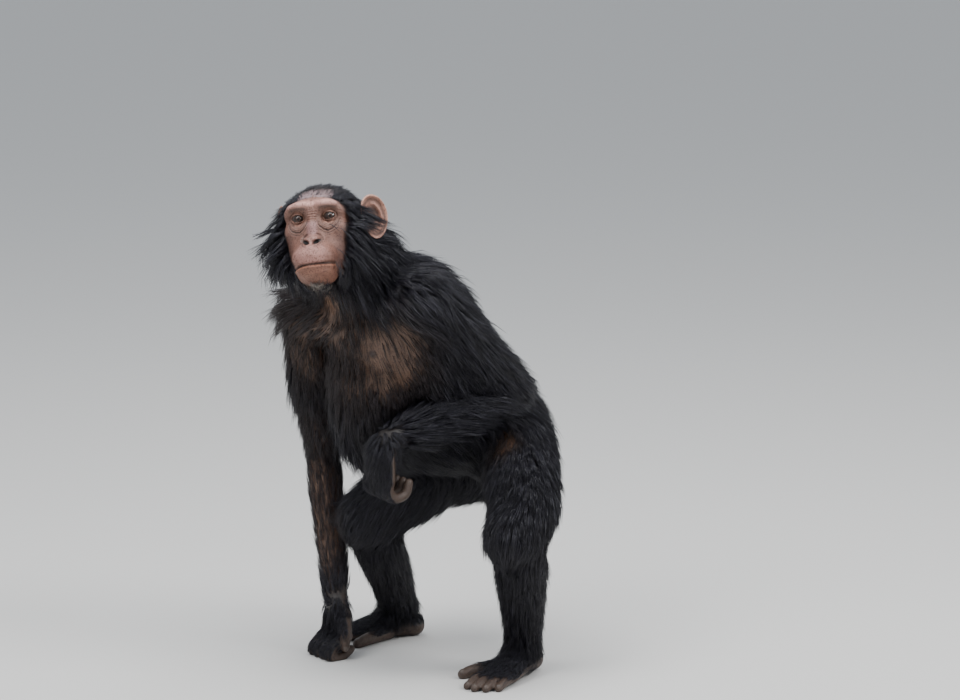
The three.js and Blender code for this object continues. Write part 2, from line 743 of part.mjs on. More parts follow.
// The scene: one named mesh for each node
const root = new THREE.Group();
for (const { name, material, body } of [...eyes, ...nodes]) {
  const got = body.getMesh();
  const geometry = new THREE.BufferGeometry();
  const positions = new Float32Array(got.numVert * 3);
  for (let i = 0; i < got.numVert; i++) {
    positions.set(got.vertProperties.subarray(i * got.numProp, i * got.numProp + 3), i * 3);
  }
  geometry.setAttribute("position", new THREE.BufferAttribute(positions, 3));
  geometry.setIndex(new THREE.BufferAttribute(new Uint32Array(got.triVerts), 1));
  geometry.computeVertexNormals();
  const mesh = new THREE.Mesh(geometry, material);
  mesh.name = name;
  root.add(mesh);
}
const box = new THREE.Box3().setFromObject(root);
root.position.set(-(box.min.x + box.max.x) / 2, -(box.min.y + box.max.y) / 2, -box.min.z);

export default root;
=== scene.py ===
import math

import bmesh
import bpy
import numpy as np
from mathutils import Matrix, Vector
from mathutils.bvhtree import BVHTree
from mathutils.kdtree import KDTree


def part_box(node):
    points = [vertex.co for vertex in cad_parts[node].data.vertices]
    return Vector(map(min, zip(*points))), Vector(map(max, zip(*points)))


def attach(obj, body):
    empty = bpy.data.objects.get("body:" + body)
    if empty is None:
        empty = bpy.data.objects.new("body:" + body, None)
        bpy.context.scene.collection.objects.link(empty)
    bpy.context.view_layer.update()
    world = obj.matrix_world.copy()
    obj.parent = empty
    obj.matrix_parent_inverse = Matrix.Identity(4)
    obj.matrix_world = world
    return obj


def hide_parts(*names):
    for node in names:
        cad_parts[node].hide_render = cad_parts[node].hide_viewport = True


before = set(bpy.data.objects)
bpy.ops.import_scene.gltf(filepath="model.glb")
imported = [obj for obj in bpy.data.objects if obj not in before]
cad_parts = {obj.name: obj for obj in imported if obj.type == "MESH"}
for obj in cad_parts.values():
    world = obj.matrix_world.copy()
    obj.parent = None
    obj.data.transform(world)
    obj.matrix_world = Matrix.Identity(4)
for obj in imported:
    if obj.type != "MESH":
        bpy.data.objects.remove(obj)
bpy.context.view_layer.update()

# The animal stands half crouched on both feet and the knuckles of its right hand. All
# places below are millimetres from the floor under its hips: x its left, y its back,
# z up. The solids' eyes show where that point lies in the frame.
EYES = np.array((54.0, -388.0, 780.0))
eye_corners = [np.array(c) for eye in ("eye_left", "eye_right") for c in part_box(eye)]
PLACE = np.mean(eye_corners, axis=0) * 1000 - EYES


# Skeleton and flesh of the trunk and limbs. Each limb is an ellipse led along a smooth
# path through its stations: a centre, then half its width and half its depth.
JOINT = {
    "hip_left": (72, 9, 372), "hip_right": (-69, -9, 368),
    "knee_left": (249, -133, 251), "knee_right": (-58, -222, 238),
    "ankle_left": (187, -66, 52), "ankle_right": (-132, -100, 50),
    "shoulder_left": (126, -233, 633), "shoulder_right": (-96, -310, 593),
    "elbow_left": (99, -42, 468), "elbow_right": (-147, -249, 346),
    "wrist_left": (93, -273, 405), "wrist_right": (-95, -255, 94),
}
JOINT = {name: np.array(place, float) for name, place in JOINT.items()}


def unit(vectors):
    return vectors / np.maximum(np.linalg.norm(vectors, axis=-1, keepdims=True), 1e-9)


def along_curve(points, t):
    points = np.array(points, float)
    last = len(points) - 1
    led = np.vstack([2 * points[:1] - points[1:2], points, 2 * points[-1:] - points[-2:-1]])
    step = np.clip(t, 0, 1) * last
    i = np.minimum(step.astype(int), last - 1)
    f = (step - i)[:, None]
    a, b, c, d = led[i], led[i + 1], led[i + 2], led[i + 3]
    bend, twist = 2 * a - 5 * b + 4 * c - d, 3 * b - a - 3 * c + d
    return 0.5 * (2 * b + (c - a) * f + bend * f**2 + twist * f**3)


class Limb:
    def __init__(self, stations, side, side_end=None):
        self.centres = [np.array(s[0], float) for s in stations]
        self.sizes = [(s[1], s[2]) for s in stations]
        self.side = np.array(side, float)
        self.side_end = np.array(side if side_end is None else side_end, float)

    def frame(self, t):
        t = np.clip(t, 0, 1)
        centre = along_curve(self.centres, t)
        low, high = np.clip(t - 0.01, 0, 1), np.clip(t + 0.01, 0, 1)
        along = unit(along_curve(self.centres, high) - along_curve(self.centres, low))
        wide = self.side + (self.side_end - self.side) * t[:, None]
        wide = unit(wide - along * np.sum(wide * along, axis=1, keepdims=True))
        return centre, wide, np.cross(wide, along), along, along_curve(self.sizes, t)

    # The points of a unit sphere, led along the limb: its poles become the round ends.
    def wrap(self, ball, rings):
        u = 0.5 + np.arcsin(np.clip(ball[:, 2], -1, 1)) / math.pi
        angle = np.arctan2(ball[:, 1], ball[:, 0])
        cap = 3.0 / rings
        t = np.clip((u - cap) / (1 - 2 * cap), 0, 1)
        centre, wide, deep, along, size = self.frame(t)
        end = np.where(u < cap, -1, np.where(u > 1 - cap, 1, 0))
        edge = np.clip(np.minimum(u, 1 - u) / cap, 0, 1)
        tilt = (1 - edge) * math.pi / 2
        reach = size.min(axis=1) * np.sin(tilt) * end
        return (
            centre
            + wide * (size[:, 0] * np.cos(angle) * np.cos(tilt))[:, None]
            + deep * (size[:, 1] * np.sin(angle) * np.cos(tilt))[:, None]
            + along * reach[:, None]
        )


def between(a, b, sizes, side, bow=(0, 0, 0)):
    a, b = JOINT[a], JOINT[b]
    stations = [(a + (b - a) * t + np.array(bow) * push, w, d) for t, w, d, push in sizes]
    return Limb(stations, side)


CHEST_SIDE = (0.93, 0.32, 0.17)
NECK_SIDE = (0.74, 0.65, 0.1)
LIMBS = {
    "pelvis": Limb(
        [((0, 26, 330), 70, 56), ((0, 8, 366), 98, 80), ((2, -34, 412), 101, 88),
         ((6, -80, 454), 103, 90), ((8, -112, 480), 88, 76)],
        (1, 0, 0),
    ),
    "buttock_left": Limb([((50, 28, 328), 54, 52), ((80, -4, 334), 54, 54)], (0, 0, 1)),
    "buttock_right": Limb([((-46, 30, 312), 54, 52), ((-72, -28, 306), 56, 58)], (0, 0, 1)),
    "chest": Limb(
        [((8, -96, 468), 104, 89), ((11, -156, 528), 119, 100), ((14, -208, 580), 128, 105),
         ((16, -246, 622), 112, 92), ((18, -268, 648), 76, 68)],
        (1, 0, 0), CHEST_SIDE,
    ),
    "belly": Limb(
        [((-6, -100, 404), 78, 76), ((-20, -186, 434), 82, 89), ((-6, -218, 500), 92, 86)],
        (1, 0, 0),
    ),
    "shoulder_left": Limb(
        [((52, -236, 620), 62, 60), (JOINT["shoulder_left"], 43, 43)], (0, 1, 0)
    ),
    "shoulder_right": Limb(
        [((-20, -276, 598), 58, 54), (JOINT["shoulder_right"], 38, 38)], (0, 1, 0)
    ),
    "neck": Limb(
        [((12, -250, 622), 58, 56), ((20, -298, 692), 63, 66), ((22, -324, 724), 54, 58)],
        CHEST_SIDE, NECK_SIDE,
    ),
    "arm_left": between(
        "shoulder_left", "elbow_left",
        [(0, 38, 38, 0), (0.3, 41, 42, 0), (0.65, 37, 39, 0), (1, 31, 32, 0)], (0.3, 1, 0),
    ),
    "arm_right": between(
        "shoulder_right", "elbow_right",
        [(0, 34, 36, 0), (0.3, 35, 36, 0), (0.65, 29, 31, 0), (1, 24, 26, 0)], (0.3, 1, 0),
    ),
    "forearm_left": between(
        "elbow_left", "wrist_left",
        [(0, 27, 29, 0), (0.25, 33, 33, 0), (0.6, 27, 28, 0), (1, 23, 19, 0)], (0.5, 0, 0.86),
    ),
    "forearm_right": between(
        "elbow_right", "wrist_right",
        [(0, 22, 24, 0), (0.25, 25, 28, 0), (0.6, 22, 23, 0), (1, 19, 17, 0)], (1, 0.3, 0),
    ),
    "thigh_left": between(
        "hip_left", "knee_left",
        [(0, 52, 52, -4), (0.4, 52, 54, 8), (0.75, 46, 50, 13), (1, 40, 42, 0)],
        (0, 0, 1), (0.6, 0.8, 0),
    ),
    "thigh_right": between(
        "hip_right", "knee_right",
        [(0, 58, 54, 10), (0.4, 60, 52, 18), (0.75, 50, 47, 8), (1, 42, 42, 0)],
        (0, 0, 1), (0, 0, -1),
    ),
    "shank_left": between(
        "knee_left", "ankle_left",
        [(0, 34, 36, 8), (0.3, 33, 38, 10), (0.65, 27, 30, 6), (1, 21, 24, 0)],
        (1, 0, 0), (0, 1, 0),
    ),
    "shank_right": between(
        "knee_right", "ankle_right",
        [(0, 34, 36, 6), (0.3, 33, 37, 8), (0.65, 27, 30, 6), (1, 21, 24, 0)],
        (1, 0, 0), (0, 1, 0),
    ),
}


def digit(start, points, sizes, side=(1, 0, 0)):
    return Limb([(np.array(start) + p, s, s) for p, s in zip(points, sizes)], side)


# The right hand stands on the backs of its folded fingers, the left one hangs from its
# bent wrist with the fingers curled, and the feet lie flat with the big toes set apart.
KNUCKLES = np.array((-85.0, -259.0, 0.0))
HANG = np.array((93.0, -278.0, 345.0))
wrist_left, wrist_right = JOINT["wrist_left"], JOINT["wrist_right"]
HAND = {
    "hand_right": [
        Limb([(wrist_right + (0, 0, 4), 21, 17), (wrist_right + (4, 0, -26), 33, 16),
              (KNUCKLES + (0, 2, 42), 36, 14)], (1, 0, 0)),
    ],
    "hand_left": [
        Limb([(wrist_left + (0, 0, 2), 23, 19), ((93, -286, 378), 34, 17),
              (HANG + (0, -10, -2), 38, 14)], (1, 0, 0)),
    ],
}
for i, x in enumerate((-27, -9.5, 9, 26)):
    low = 6.5 if i in (0, 3) else 5.5
    HAND["hand_right"].append(
        digit(KNUCKLES, [(x, 2, 40), (x, -24, 24), (x, -33, low + 2), (x, -10, 6.5), (x, 9, 17)],
              [10, 9, 8.6, 8.4, 7.4])
    )
for i, x in enumerate((-28, -9.5, 9.5, 28)):
    HAND["hand_left"].append(
        digit(HANG, [(x, -12, -2), (x, -13, -18 - i), (x, 2, -28 - i), (x, 20, -22 - i),
                     (x, 27, -7)],
              [9.6, 9, 8.5, 8.2, 7.2])
    )
THUMB = [12, 9.6, 7.6]
HAND["hand_right"].append(digit(KNUCKLES, [(22, 0, 66), (36, -8, 46), (38, -10, 24)], THUMB))
HAND["hand_left"].append(digit(HANG, [(-26, 0, 28), (-38, 14, 4), (-32, 26, -14)], THUMB))

FOOT_TURN = math.radians(22)


def foot(ankle, inner):
    turn = -inner * FOOT_TURN
    ankle = JOINT[ankle]

    def place(x, y, z):
        x *= -inner
        return (
            ankle[0] + x * math.cos(turn) - y * math.sin(turn),
            ankle[1] + x * math.sin(turn) + y * math.cos(turn),
            z,
        )

    across = (math.cos(turn), math.sin(turn), 0)
    parts = [
        Limb([(place(0, 24, 20), 21, 19), (place(0, 2, 26), 25, 24), (place(1, -34, 22), 29, 20),
              (place(3, -72, 14), 33, 13), (place(3, -88, 12), 31, 11)], across),
        Limb([(place(0, 4, 50), 23, 26), (place(0, -20, 31), 24, 24)], across),
    ]
    for x, y, long in ((-19, -84, 56), (-3, -88, 58), (13, -85, 54), (27, -78, 46)):
        ends = [place(x * 0.9, y + 14, 15), place(x, y - 8, 14),
                place(x * 1.08, y - long * 0.6, 13), place(x * 1.1, y - long, 7.5)]
        parts.append(digit((0, 0, 0), ends, [8.8, 8.2, 7.8, 7], across))
    ends = [place(-18, -26, 16), place(-38, -50, 14), place(-54, -70, 13), place(-64, -88, 9)]
    parts.append(digit((0, 0, 0), ends, [15, 12, 10.8, 9], across))
    return parts


FOOT = {"foot_left": foot("ankle_left", -1), "foot_right": foot("ankle_right", 1)}


# One closed skin is moulded over a group of limbs: their surfaces are joined by a voxel
# remesh and relaxed, so that a limb runs into the next as flesh does.
def ball_in(bm, around, rings):
    verts = bmesh.ops.create_uvsphere(bm, u_segments=around, v_segments=rings, radius=1)["verts"]
    return verts, np.array([v.co for v in verts])


def move_to(verts, points):
    for vert, point in zip(verts, points):
        vert.co = point


def face_outwards(bm):
    if bm.calc_volume(signed=True) < 0:
        bmesh.ops.reverse_faces(bm, faces=bm.faces)


def piece_of(name, mesh):
    piece = bpy.data.objects.new(name, mesh)
    bpy.context.scene.collection.objects.link(piece)
    return piece


def moulded(name, bm):
    mesh = bpy.data.meshes.new(name)
    bm.to_mesh(mesh)
    bm.free()
    return piece_of(name, mesh)


def relaxed_mesh(name, parts, voxel, rounds, around=40, rings=30):
    bm = bmesh.new()
    for limb in parts:
        verts, ball = ball_in(bm, around, rings)
        move_to(verts, limb.wrap(ball, rings))
    bmesh.ops.recalc_face_normals(bm, faces=bm.faces)
    piece = moulded(name, bm)
    remesh = piece.modifiers.new("one skin", "REMESH")
    remesh.mode = "VOXEL"
    remesh.voxel_size = voxel
    relax = piece.modifiers.new("relaxed", "SMOOTH")
    relax.factor = 0.5
    relax.iterations = rounds
    return piece


body = relaxed_mesh("skin", LIMBS.values(), 4.6, 10)
hands_and_feet = [
    relaxed_mesh(name, parts, 2.3, 4, 24, 24) for name, parts in {**HAND, **FOOT}.items()
]

# Head. Its own frame has its origin between the eyes, y to the back of it. Soft forms
# give skull and muzzle: a centre, half sizes and how softly it runs into the rest. One
# beside the middle is there on both sides.
HEAD_CENTRE = np.array((0.0, 24.0, -24.0))
EYE_RADIUS = 11.5
EYE_APART = 26.5
FORMS = [
    ((0, 58, 8), (60, 68, 47), 10), ((0, 52, -34), (52, 54, 44), 14),
    ((0, 10, 12), (45, 20, 16), 14), ((22, -3, 17), (21, 11, 7), 8),
    ((41, 7, 7), (10, 13, 12), 10), ((0, 12, -30), (46, 34, 46), 12),
    ((37, 8, -21), (16, 18, 14), 14),
    ((0, -14, -66), (36, 38, 28), 20), ((0, -31, -67), (31, 26, 17), 12),
    ((0, -6, -94), (32, 34, 18), 14), ((0, -28, -90), (27, 23, 12), 10),
    ((0, -10, -22), (7, 14, 20), 10), ((0, -28, -37), (7.5, 9, 6.5), 6),
    ((8.5, -26, -40), (6.5, 9, 5), 4), ((28, 34, -56), (24, 38, 36), 20),
]
FORMS = [(np.array((x * side, y, z), float), np.array(size, float), soft)
         for (x, y, z), size, soft in FORMS for side in ((1, -1) if x else (1,))]
SOCKET_SIZE = np.array((15.0, 12.0, 9.0))
SOCKET_SOFT = 9
head_matrix = np.array(
    Matrix.Rotation(math.radians(42), 3, "Z")
    @ Matrix.Rotation(math.radians(-13), 3, "X")
    @ Matrix.Rotation(math.radians(-8), 3, "Y")
)


def from_head(points):
    return points @ head_matrix.T + EYES


def to_head(points):
    return (points - EYES) @ head_matrix


def outside(points, centre, size):
    q = (points - centre) / size
    k0 = np.linalg.norm(q, axis=1)
    k1 = np.linalg.norm(q / size, axis=1)
    return k0 * (k0 - 1) / np.maximum(k1, 1e-9)


def head_field(points):
    field = np.full(len(points), 1e3)
    for centre, size, soft in FORMS:
        d = outside(points, centre, size)
        h = np.clip(0.5 + 0.5 * (field - d) / soft, 0, 1)
        field = field + (d - field) * h - soft * h * (1 - h)
    for side in (1, -1):
        d = -outside(points, np.array((side * (EYE_APART - 1), -19, -1)), SOCKET_SIZE)
        h = np.clip(0.5 - 0.5 * (field - d) / SOCKET_SOFT, 0, 1)
        field = field + (d - field) * h + SOCKET_SOFT * h * (1 - h)
    return field


def head_normal(points):
    steps = np.eye(3) * 0.8
    return unit(np.stack([head_field(points + s) - head_field(points - s) for s in steps], axis=1))


# Where each ray from start leaves the head, searched from the outside in
def where_out(start, direction, far, step, rounds):
    reach = np.full(len(direction), float(far))
    for _ in range(rounds):
        out = head_field(start + direction * reach[:, None]) > 0
        reach = np.where(out & (reach > step), reach - step, reach)
    near, far = reach, reach + step
    for _ in range(9):
        middle = (near + far) / 2
        out = head_field(start + direction * middle[:, None]) > 0
        far = np.where(out, middle, far)
        near = np.where(out, near, middle)
    return start + direction * near[:, None]


def smooth(value, low, high):
    share = np.clip((value - low) / (high - low), 0, 1)
    return share * share * (3 - 2 * share)


def fade(value, low, high):
    return 1 - smooth(value, low, high)


def bump(value, middle, width):
    return np.exp(-(((value - middle) / width) ** 2))


def face_at(x, z):
    start = np.stack([x, np.full_like(x, 30.0), z], axis=1)
    return where_out(start, np.tile((0.0, -1.0, 0.0), (len(x), 1)), 120, 4, 30)


MOUTH_HALF = 35


def mouth_height(x):
    droop = np.where(x < 0, 6.5, -1.5)
    return -79.5 - droop * (x / MOUTH_HALF) ** 2


# How far a place is from the middle of a nostril, which slants down towards the nose's
# middle: 1 at its edge
def nostril_at(x, z):
    side, up = np.abs(x) - 9.0, z + 42.0
    along = side * math.cos(0.5) + up * math.sin(0.5)
    thick = up * math.cos(0.5) - side * math.sin(0.5)
    return np.hypot(along / 7.2, thick / 3.5)


# How far a place is from the middle of the nose, whose wing lies at NOSE_WING
NOSE_WING = 12.2


def wing_at(x, z):
    return np.hypot((np.abs(x) - 3.5) / 1.08, (z + 39.5) / 0.95)


# Folds below an eye: where, how deep and how wide
BAG_FOLDS = (
    (0.60, 0.8, 0.035), (0.71, 1.0, 0.04), (0.84, 1.1, 0.045), (1.0, 1.9, 0.075), (1.2, 0.7, 0.05),
)


# How far a place is from an eye's middle, in bags: 1 at the fold that ends the eye's bag
def bag_at(x, z):
    side = np.abs(x) - EYE_APART + 1
    uneven = 1 + 0.015 * np.sin(x * 0.41 + 1) + 0.012 * np.sin(x * 0.93)
    return np.hypot(side / 17, (z + 1) / 22) * uneven


# Folds of the face, cut into the skin along its normal: how deep each lies at a place
def folds(p):
    x, y, z = p.T
    side = np.abs(x)
    front = smooth(-y, -16, 0)
    off = z - mouth_height(x)
    mouth = fade(side, MOUTH_HALF - 5, MOUTH_HALF + 2)
    lips = 1.4 * bump(off, 4.6, 2.6), 1.9 * bump(off, -4.2, 2.4)
    deep = mouth * (3.2 * bump(off, 0, 1.3) - lips[0] - lips[1])
    deep += 1.2 * bump(off, -11, 2.4) * fade(side, 12, 26)
    on_nose = (y < -20) * 1.0
    nostril = nostril_at(x, z)
    deep += 6.0 * fade(nostril, 0.45, 1.2) * on_nose
    deep -= 1.3 * bump(nostril, 1.65, 0.35) * on_nose * smooth(z, -50, -44)
    deep += 1.7 * bump(wing_at(x, z), NOSE_WING, 1.5) * on_nose * smooth(side, 5, 9)
    deep += 0.9 * bump(x, 0, 1.3) * smooth(z, -42, -39) * fade(z, -33, -28) * on_nose
    bag = bag_at(x, z)
    below = smooth(-z, 3, 9) * fade(side, 43, 50)
    for at, much, wide in BAG_FOLDS:
        deep += below * much * bump(bag, at, wide)
    deep -= below * 1.7 * bump(bag, 0.84, 0.17)
    outer = smooth(side, 38, 43) * fade(side, 48, 54) * fade(np.abs(z), 10, 16)
    deep += 0.5 * outer * np.cos(z * 1.3 + side * 0.5)
    between_brows = fade(side, 6, 9)
    deep += 1.0 * bump(side, 3.5, 1.3) * smooth(z, 9, 15) * fade(z, 25, 30)
    deep += 0.6 * between_brows * smooth(z, -10, -4) * fade(z, 8, 12) * np.cos(z * 1.5)
    ridge = bump(z, 24 - 0.004 * (side - 22) ** 2, 4.2)
    deep -= 2.0 * ridge * smooth(side, 6, 16) * fade(side, 40, 48)
    deep += 0.55 * smooth(z, 30, 33) * fade(z, 38, 44) * np.cos(z * 1.15 + 0.004 * x * x)
    arc = side - (15 + 0.58 * (-48 - z))
    deep += 1.5 * bump(arc, 0, 2.2) * smooth(-z, 46, 52) * fade(-z, 76, 86)
    lip = smooth(-z, 52, 58) * smooth(off, 5, 10)
    deep += 0.3 * lip * np.sin(x * 1.9 + 0.4 * np.sin(z * 0.3)) * fade(side, 26, 34)
    return deep * front


HEAD_AROUND, HEAD_RINGS = 232, 184
bm = bmesh.new()
verts, ball = ball_in(bm, HEAD_AROUND, HEAD_RINGS)
polar = math.pi * (0.5 - np.arcsin(np.clip(ball[:, 2], -1, 1)) / math.pi) ** 1.5
angle = np.arctan2(ball[:, 1], ball[:, 0])
ring = np.sin(polar)
way = np.stack([ring * np.cos(angle), -np.cos(polar), ring * np.sin(angle)], axis=1)
head_points = where_out(HEAD_CENTRE, way, 150, 5, 30)
head_points = head_points - head_normal(head_points) * folds(head_points)[:, None]
# Behind the lids the skin lies back from the eyeball
for side in (1, -1):
    off = head_points - (side * EYE_APART, 0, 0)
    near = fade(np.hypot(off[:, 0] / 13.5, off[:, 2] / 9.5), 0.75, 1.05)
    head_points[:, 1] += near * 5 * (head_points[:, 1] < 5)
move_to(verts, from_head(head_points))
face_outwards(bm)
head = moulded("head_skin", bm)

# Ears: a thin shell of cartilage under bare skin, with a rolled rim, an inner ridge and a
# deep bowl. Its root grows out of the side of the head.
EAR_TALL, EAR_WIDE = 37, 25
EAR_PLACE = {1: ((83, 60, -2), -0.12, -0.8), -1: ((-73, 66, -4), 0.12, 0.45)}


def ear_turn(tilt, turn):
    return np.array(Matrix.Rotation(turn, 3, "Z") @ Matrix.Rotation(tilt, 3, "Y"))


ears = []
for side, (place, tilt, turn) in EAR_PLACE.items():
    bm = bmesh.new()
    verts, ball = ball_in(bm, 64, 56)
    r = np.hypot(ball[:, 0], ball[:, 1])
    a = np.arctan2(ball[:, 1], ball[:, 0])
    r = r ** 0.8
    behind = np.maximum(0, np.cos(a))
    above = np.maximum(0, np.sin(a))
    bowl = -9.5 * (1 - r**2.2) + 1.2 * r
    outward = smooth(ball[:, 2], -0.1, 0.2)
    ridge = 3.4 * bump(r, 0.63 - 0.05 * np.sin(2 * a), 0.085)
    ridge = ridge * (0.25 + 0.75 * smooth(behind, 0, 0.5))
    rim = 2.6 * bump(r, 0.93, 0.06) * (0.35 + 0.65 * smooth(np.maximum(behind, above), 0, 0.5))
    notch = 2.8 * bump(r, 0.72, 0.1) * bump(a, 2.8, 0.35)
    hollow = 3.0 * bump(r, 0.4, 0.2) * bump(a, -0.3, 1.2)
    x = bowl + 1.7 * ball[:, 2] + outward * (ridge + rim + notch - hollow)
    wide = EAR_WIDE * (1 + 0.1 * np.sin(a))
    y = wide * r * np.cos(a)
    z = EAR_TALL * r * np.sin(a) * (1 - 0.04 * np.cos(a))
    points = np.stack([side * (x + 2), y, z], axis=1)
    points = points @ ear_turn(tilt, turn).T + place
    move_to(verts, from_head(points))
    face_outwards(bm)
    ears.append(moulded("ear_skin", bm))

# Lids: a thin ring of skin round each eye, creased and turned in at its edge. It slides
# over the eyeball and runs out onto the face.
LID_AROUND, LID_STEPS = 64, 18
LID_THICK = 1.5
lids = []
for side in (1, -1):
    bm = bmesh.new()
    bmesh.ops.create_grid(bm, x_segments=LID_AROUND, y_segments=LID_STEPS, size=1)
    grid = np.array([v.co for v in bm.verts])
    phi = grid[:, 0] * math.pi
    s = (grid[:, 1] + 1) / 2
    out = np.maximum(0, s - 0.18) / 0.82
    high = np.where(np.sin(phi) > 0, 0.54, 0.45)
    edge_lat = high * np.abs(np.sin(phi)) ** 0.85 * np.sign(np.sin(phi))
    edge_lon = 0.98 * np.cos(phi) - 0.05
    lon = edge_lon * (1 + 0.5 * out)
    lat = edge_lat * (1 + 1.3 * out) + 0.10 * out * np.sin(phi) + 0.05 * np.cos(phi)
    r = EYE_RADIUS + 0.1 + LID_THICK * smooth(s, 0.0, 0.16)
    upper = np.sin(phi) > 0
    r = r - 0.7 * bump(out, 0.42, 0.08) * upper - 0.6 * bump(out, 0.35, 0.07) * ~upper
    r = r - 0.45 * bump(out, 0.62, 0.06) * ~upper
    lid = np.stack([
        side * (EYE_APART + r * np.sin(lon) * np.cos(lat)), -r * np.cos(lon) * np.cos(lat),
        r * np.sin(lat),
    ], axis=1)
    on_face = face_at(lid[:, 0], lid[:, 2])
    blend = smooth(out, 0.35, 0.95)
    depth = lid[:, 1] + (on_face[:, 1] + 0.5 - lid[:, 1]) * blend
    lid[:, 1] = np.minimum(depth, np.maximum(lid[:, 1], on_face[:, 1] + 0.5))
    move_to(bm.verts, from_head(lid))
    bmesh.ops.remove_doubles(bm, verts=bm.verts, dist=0.02)
    if side > 0:
        bmesh.ops.reverse_faces(bm, faces=bm.faces)
    lids.append(moulded("lid_skin", bm))

# The skin is one piece on the animal, so body, hands, feet, head, ears and lids are joined.
# Nothing of it goes below the floor.
FLOOR = 2.0
for part in [*hands_and_feet, head, *ears]:
    union = body.modifiers.new("joined", "BOOLEAN")
    union.operation = "UNION"
    union.solver = "MANIFOLD"
    union.object = part
bpy.context.view_layer.update()
whole = body.evaluated_get(bpy.context.evaluated_depsgraph_get())
skin_mesh = bpy.data.meshes.new_from_object(whole)
bm = bmesh.new()
bm.from_mesh(skin_mesh)
for lid in lids:
    bm.from_mesh(lid.data)
bmesh.ops.triangulate(bm, faces=bm.faces, quad_method="SHORT_EDGE", ngon_method="BEAUTY")
for vert in bm.verts:
    vert.co.z = max(vert.co.z, FLOOR)
bm.to_mesh(skin_mesh)
bm.free()
for part in [body, *hands_and_feet, head, *ears, *lids]:
    bpy.data.objects.remove(part)
skin = piece_of("skin", skin_mesh)
skin_mesh.shade_smooth()


def read_out(of, what, kind):
    values = np.zeros(len(of) * 3, kind)
    of.foreach_get(what, values)
    return values.reshape(-1, 3)


def away(points, centre, stretch=1.0):
    return np.linalg.norm((points - centre) * stretch, axis=1)


NIPPLE_WIDE, NIPPLE_TALL = 5.0, 3.5
NIPPLES = np.array(((76.0, -293.0, 549.0), (-58.0, -342.0, 575.0)))
skin_points = read_out(skin_mesh.vertices, "co", np.float32).astype(float)
skin_normals = read_out(skin_mesh.vertices, "normal", np.float32).astype(float)
for i, nipple in enumerate(NIPPLES):
    NIPPLES[i] = skin_points[np.argmin(away(skin_points, nipple))]
for nipple in NIPPLES:
    near = bump(away(skin_points, nipple), 0, NIPPLE_WIDE)
    skin_points += skin_normals * (NIPPLE_TALL * near)[:, None]
skin_mesh.vertices.foreach_set("co", skin_points.astype(np.float32).ravel())
# Its triangles in one fixed order, so that the coat comes out the same each time
skin_mesh.calc_loop_triangles()
skin_tris = read_out(skin_mesh.loop_triangles, "vertices", np.int32)
first = np.argmin(skin_tris, axis=1)[:, None]
skin_tris = np.take_along_axis(skin_tris, (first + np.arange(3)) % 3, axis=1)
skin_tris = skin_tris[np.lexsort(skin_tris.T[::-1])]
skin_tree = BVHTree.FromPolygons(skin_points.tolist(), skin_tris.tolist())


def to_frame(points):
    return (points + PLACE) / 1000


# The face is bare inside a hairline that is given by half its width at each height
HAIRLINE = (
    (-124, -113, -102, -78, -40, 0, 14, 22, 28, 32, 34),
    (0, 16, 33, 43, 48, 53, 50, 41, 31, 17, 0),
)


def bare_face(local):
    x, y, z = local.T
    share = np.abs(x) / np.maximum(np.interp(z, *HAIRLINE), 1.0)
    return fade(share, 0.86, 1.08) * fade(y, 26, 40) * (np.abs(z + 43) < 81)


# Short whitish hair on the chin and along the jaw
def beard_at(local):
    x, y, z = local.T
    side = np.abs(x)
    chin = fade(z, -110, -98)
    jaw = smooth(side, 28, 38) * fade(z, -82, -62)
    return np.maximum(chin, jaw) * (y < 20) * smooth(z, -135, -125)


# Where the coat grows, how long, how deep and which way it lies. Each row: the limbs,
# +1 when hair runs to the limb's far end, how much it hangs, its length and its depth.
LIE = {
    "pelvis": (-1, 0.35, 52, 13),
    "buttock_left": (1, 0.8, 46, 12), "buttock_right": (1, 0.8, 46, 12),
    "belly": (-1, 0.45, 52, 15), "chest": (-1, 0.45, 64, 16),
    "shoulder_left": (1, 0.45, 62, 15), "shoulder_right": (1, 0.45, 58, 16),
    "neck": (-1, 0.5, 58, 22), "arm_left": (1, 0.25, 60, 14), "arm_right": (1, 0.3, 46, 15),
    "forearm_left": (-1, 0.25, 52, 15), "forearm_right": (-1, -0.1, 34, 6.5),
    "thigh_left": (1, 0.45, 46, 9), "thigh_right": (1, 0.45, 46, 9),
    "shank_left": (1, 0.2, 40, 8), "shank_right": (1, 0.2, 40, 8),
}
DORSAL = {
    "hand_left": (0, -1, 0.15), "hand_right": (0, -1, 0.1),
    "foot_left": (0, 0, 1), "foot_right": (0, 0, 1),
}
rows = []
for name, limb in LIMBS.items():
    rows.append((limb, *LIE[name], None, 0))
for group in (HAND, FOOT):
    for name, parts in group.items():
        for i, limb in enumerate(parts):
            is_palm = i == 0 or (name.startswith("foot") and i == 1)
            rows.append((limb, 1, 0.0, 17 if is_palm else 10, 3.5 if is_palm else 1.5,
                         unit(np.array(DORSAL[name], float)), 1 if is_palm else 2))
# Fuller hair over the right shoulder, beside the throat and under the belly
RUFF = [((-85, -345, 628), 70, 22), ((-70, -250, 385), 80, 14)]
# How deep the hair beside the face is at each height of the head
CHEEK_DEPTH = ((-112, -90, -72, -52, -35, -10, 6, 23, 35), (9, 17, 27, 36, 38, 35, 28, 14, 6))
STATIONS = np.linspace(0, 1, 17)
CHARTS = 7


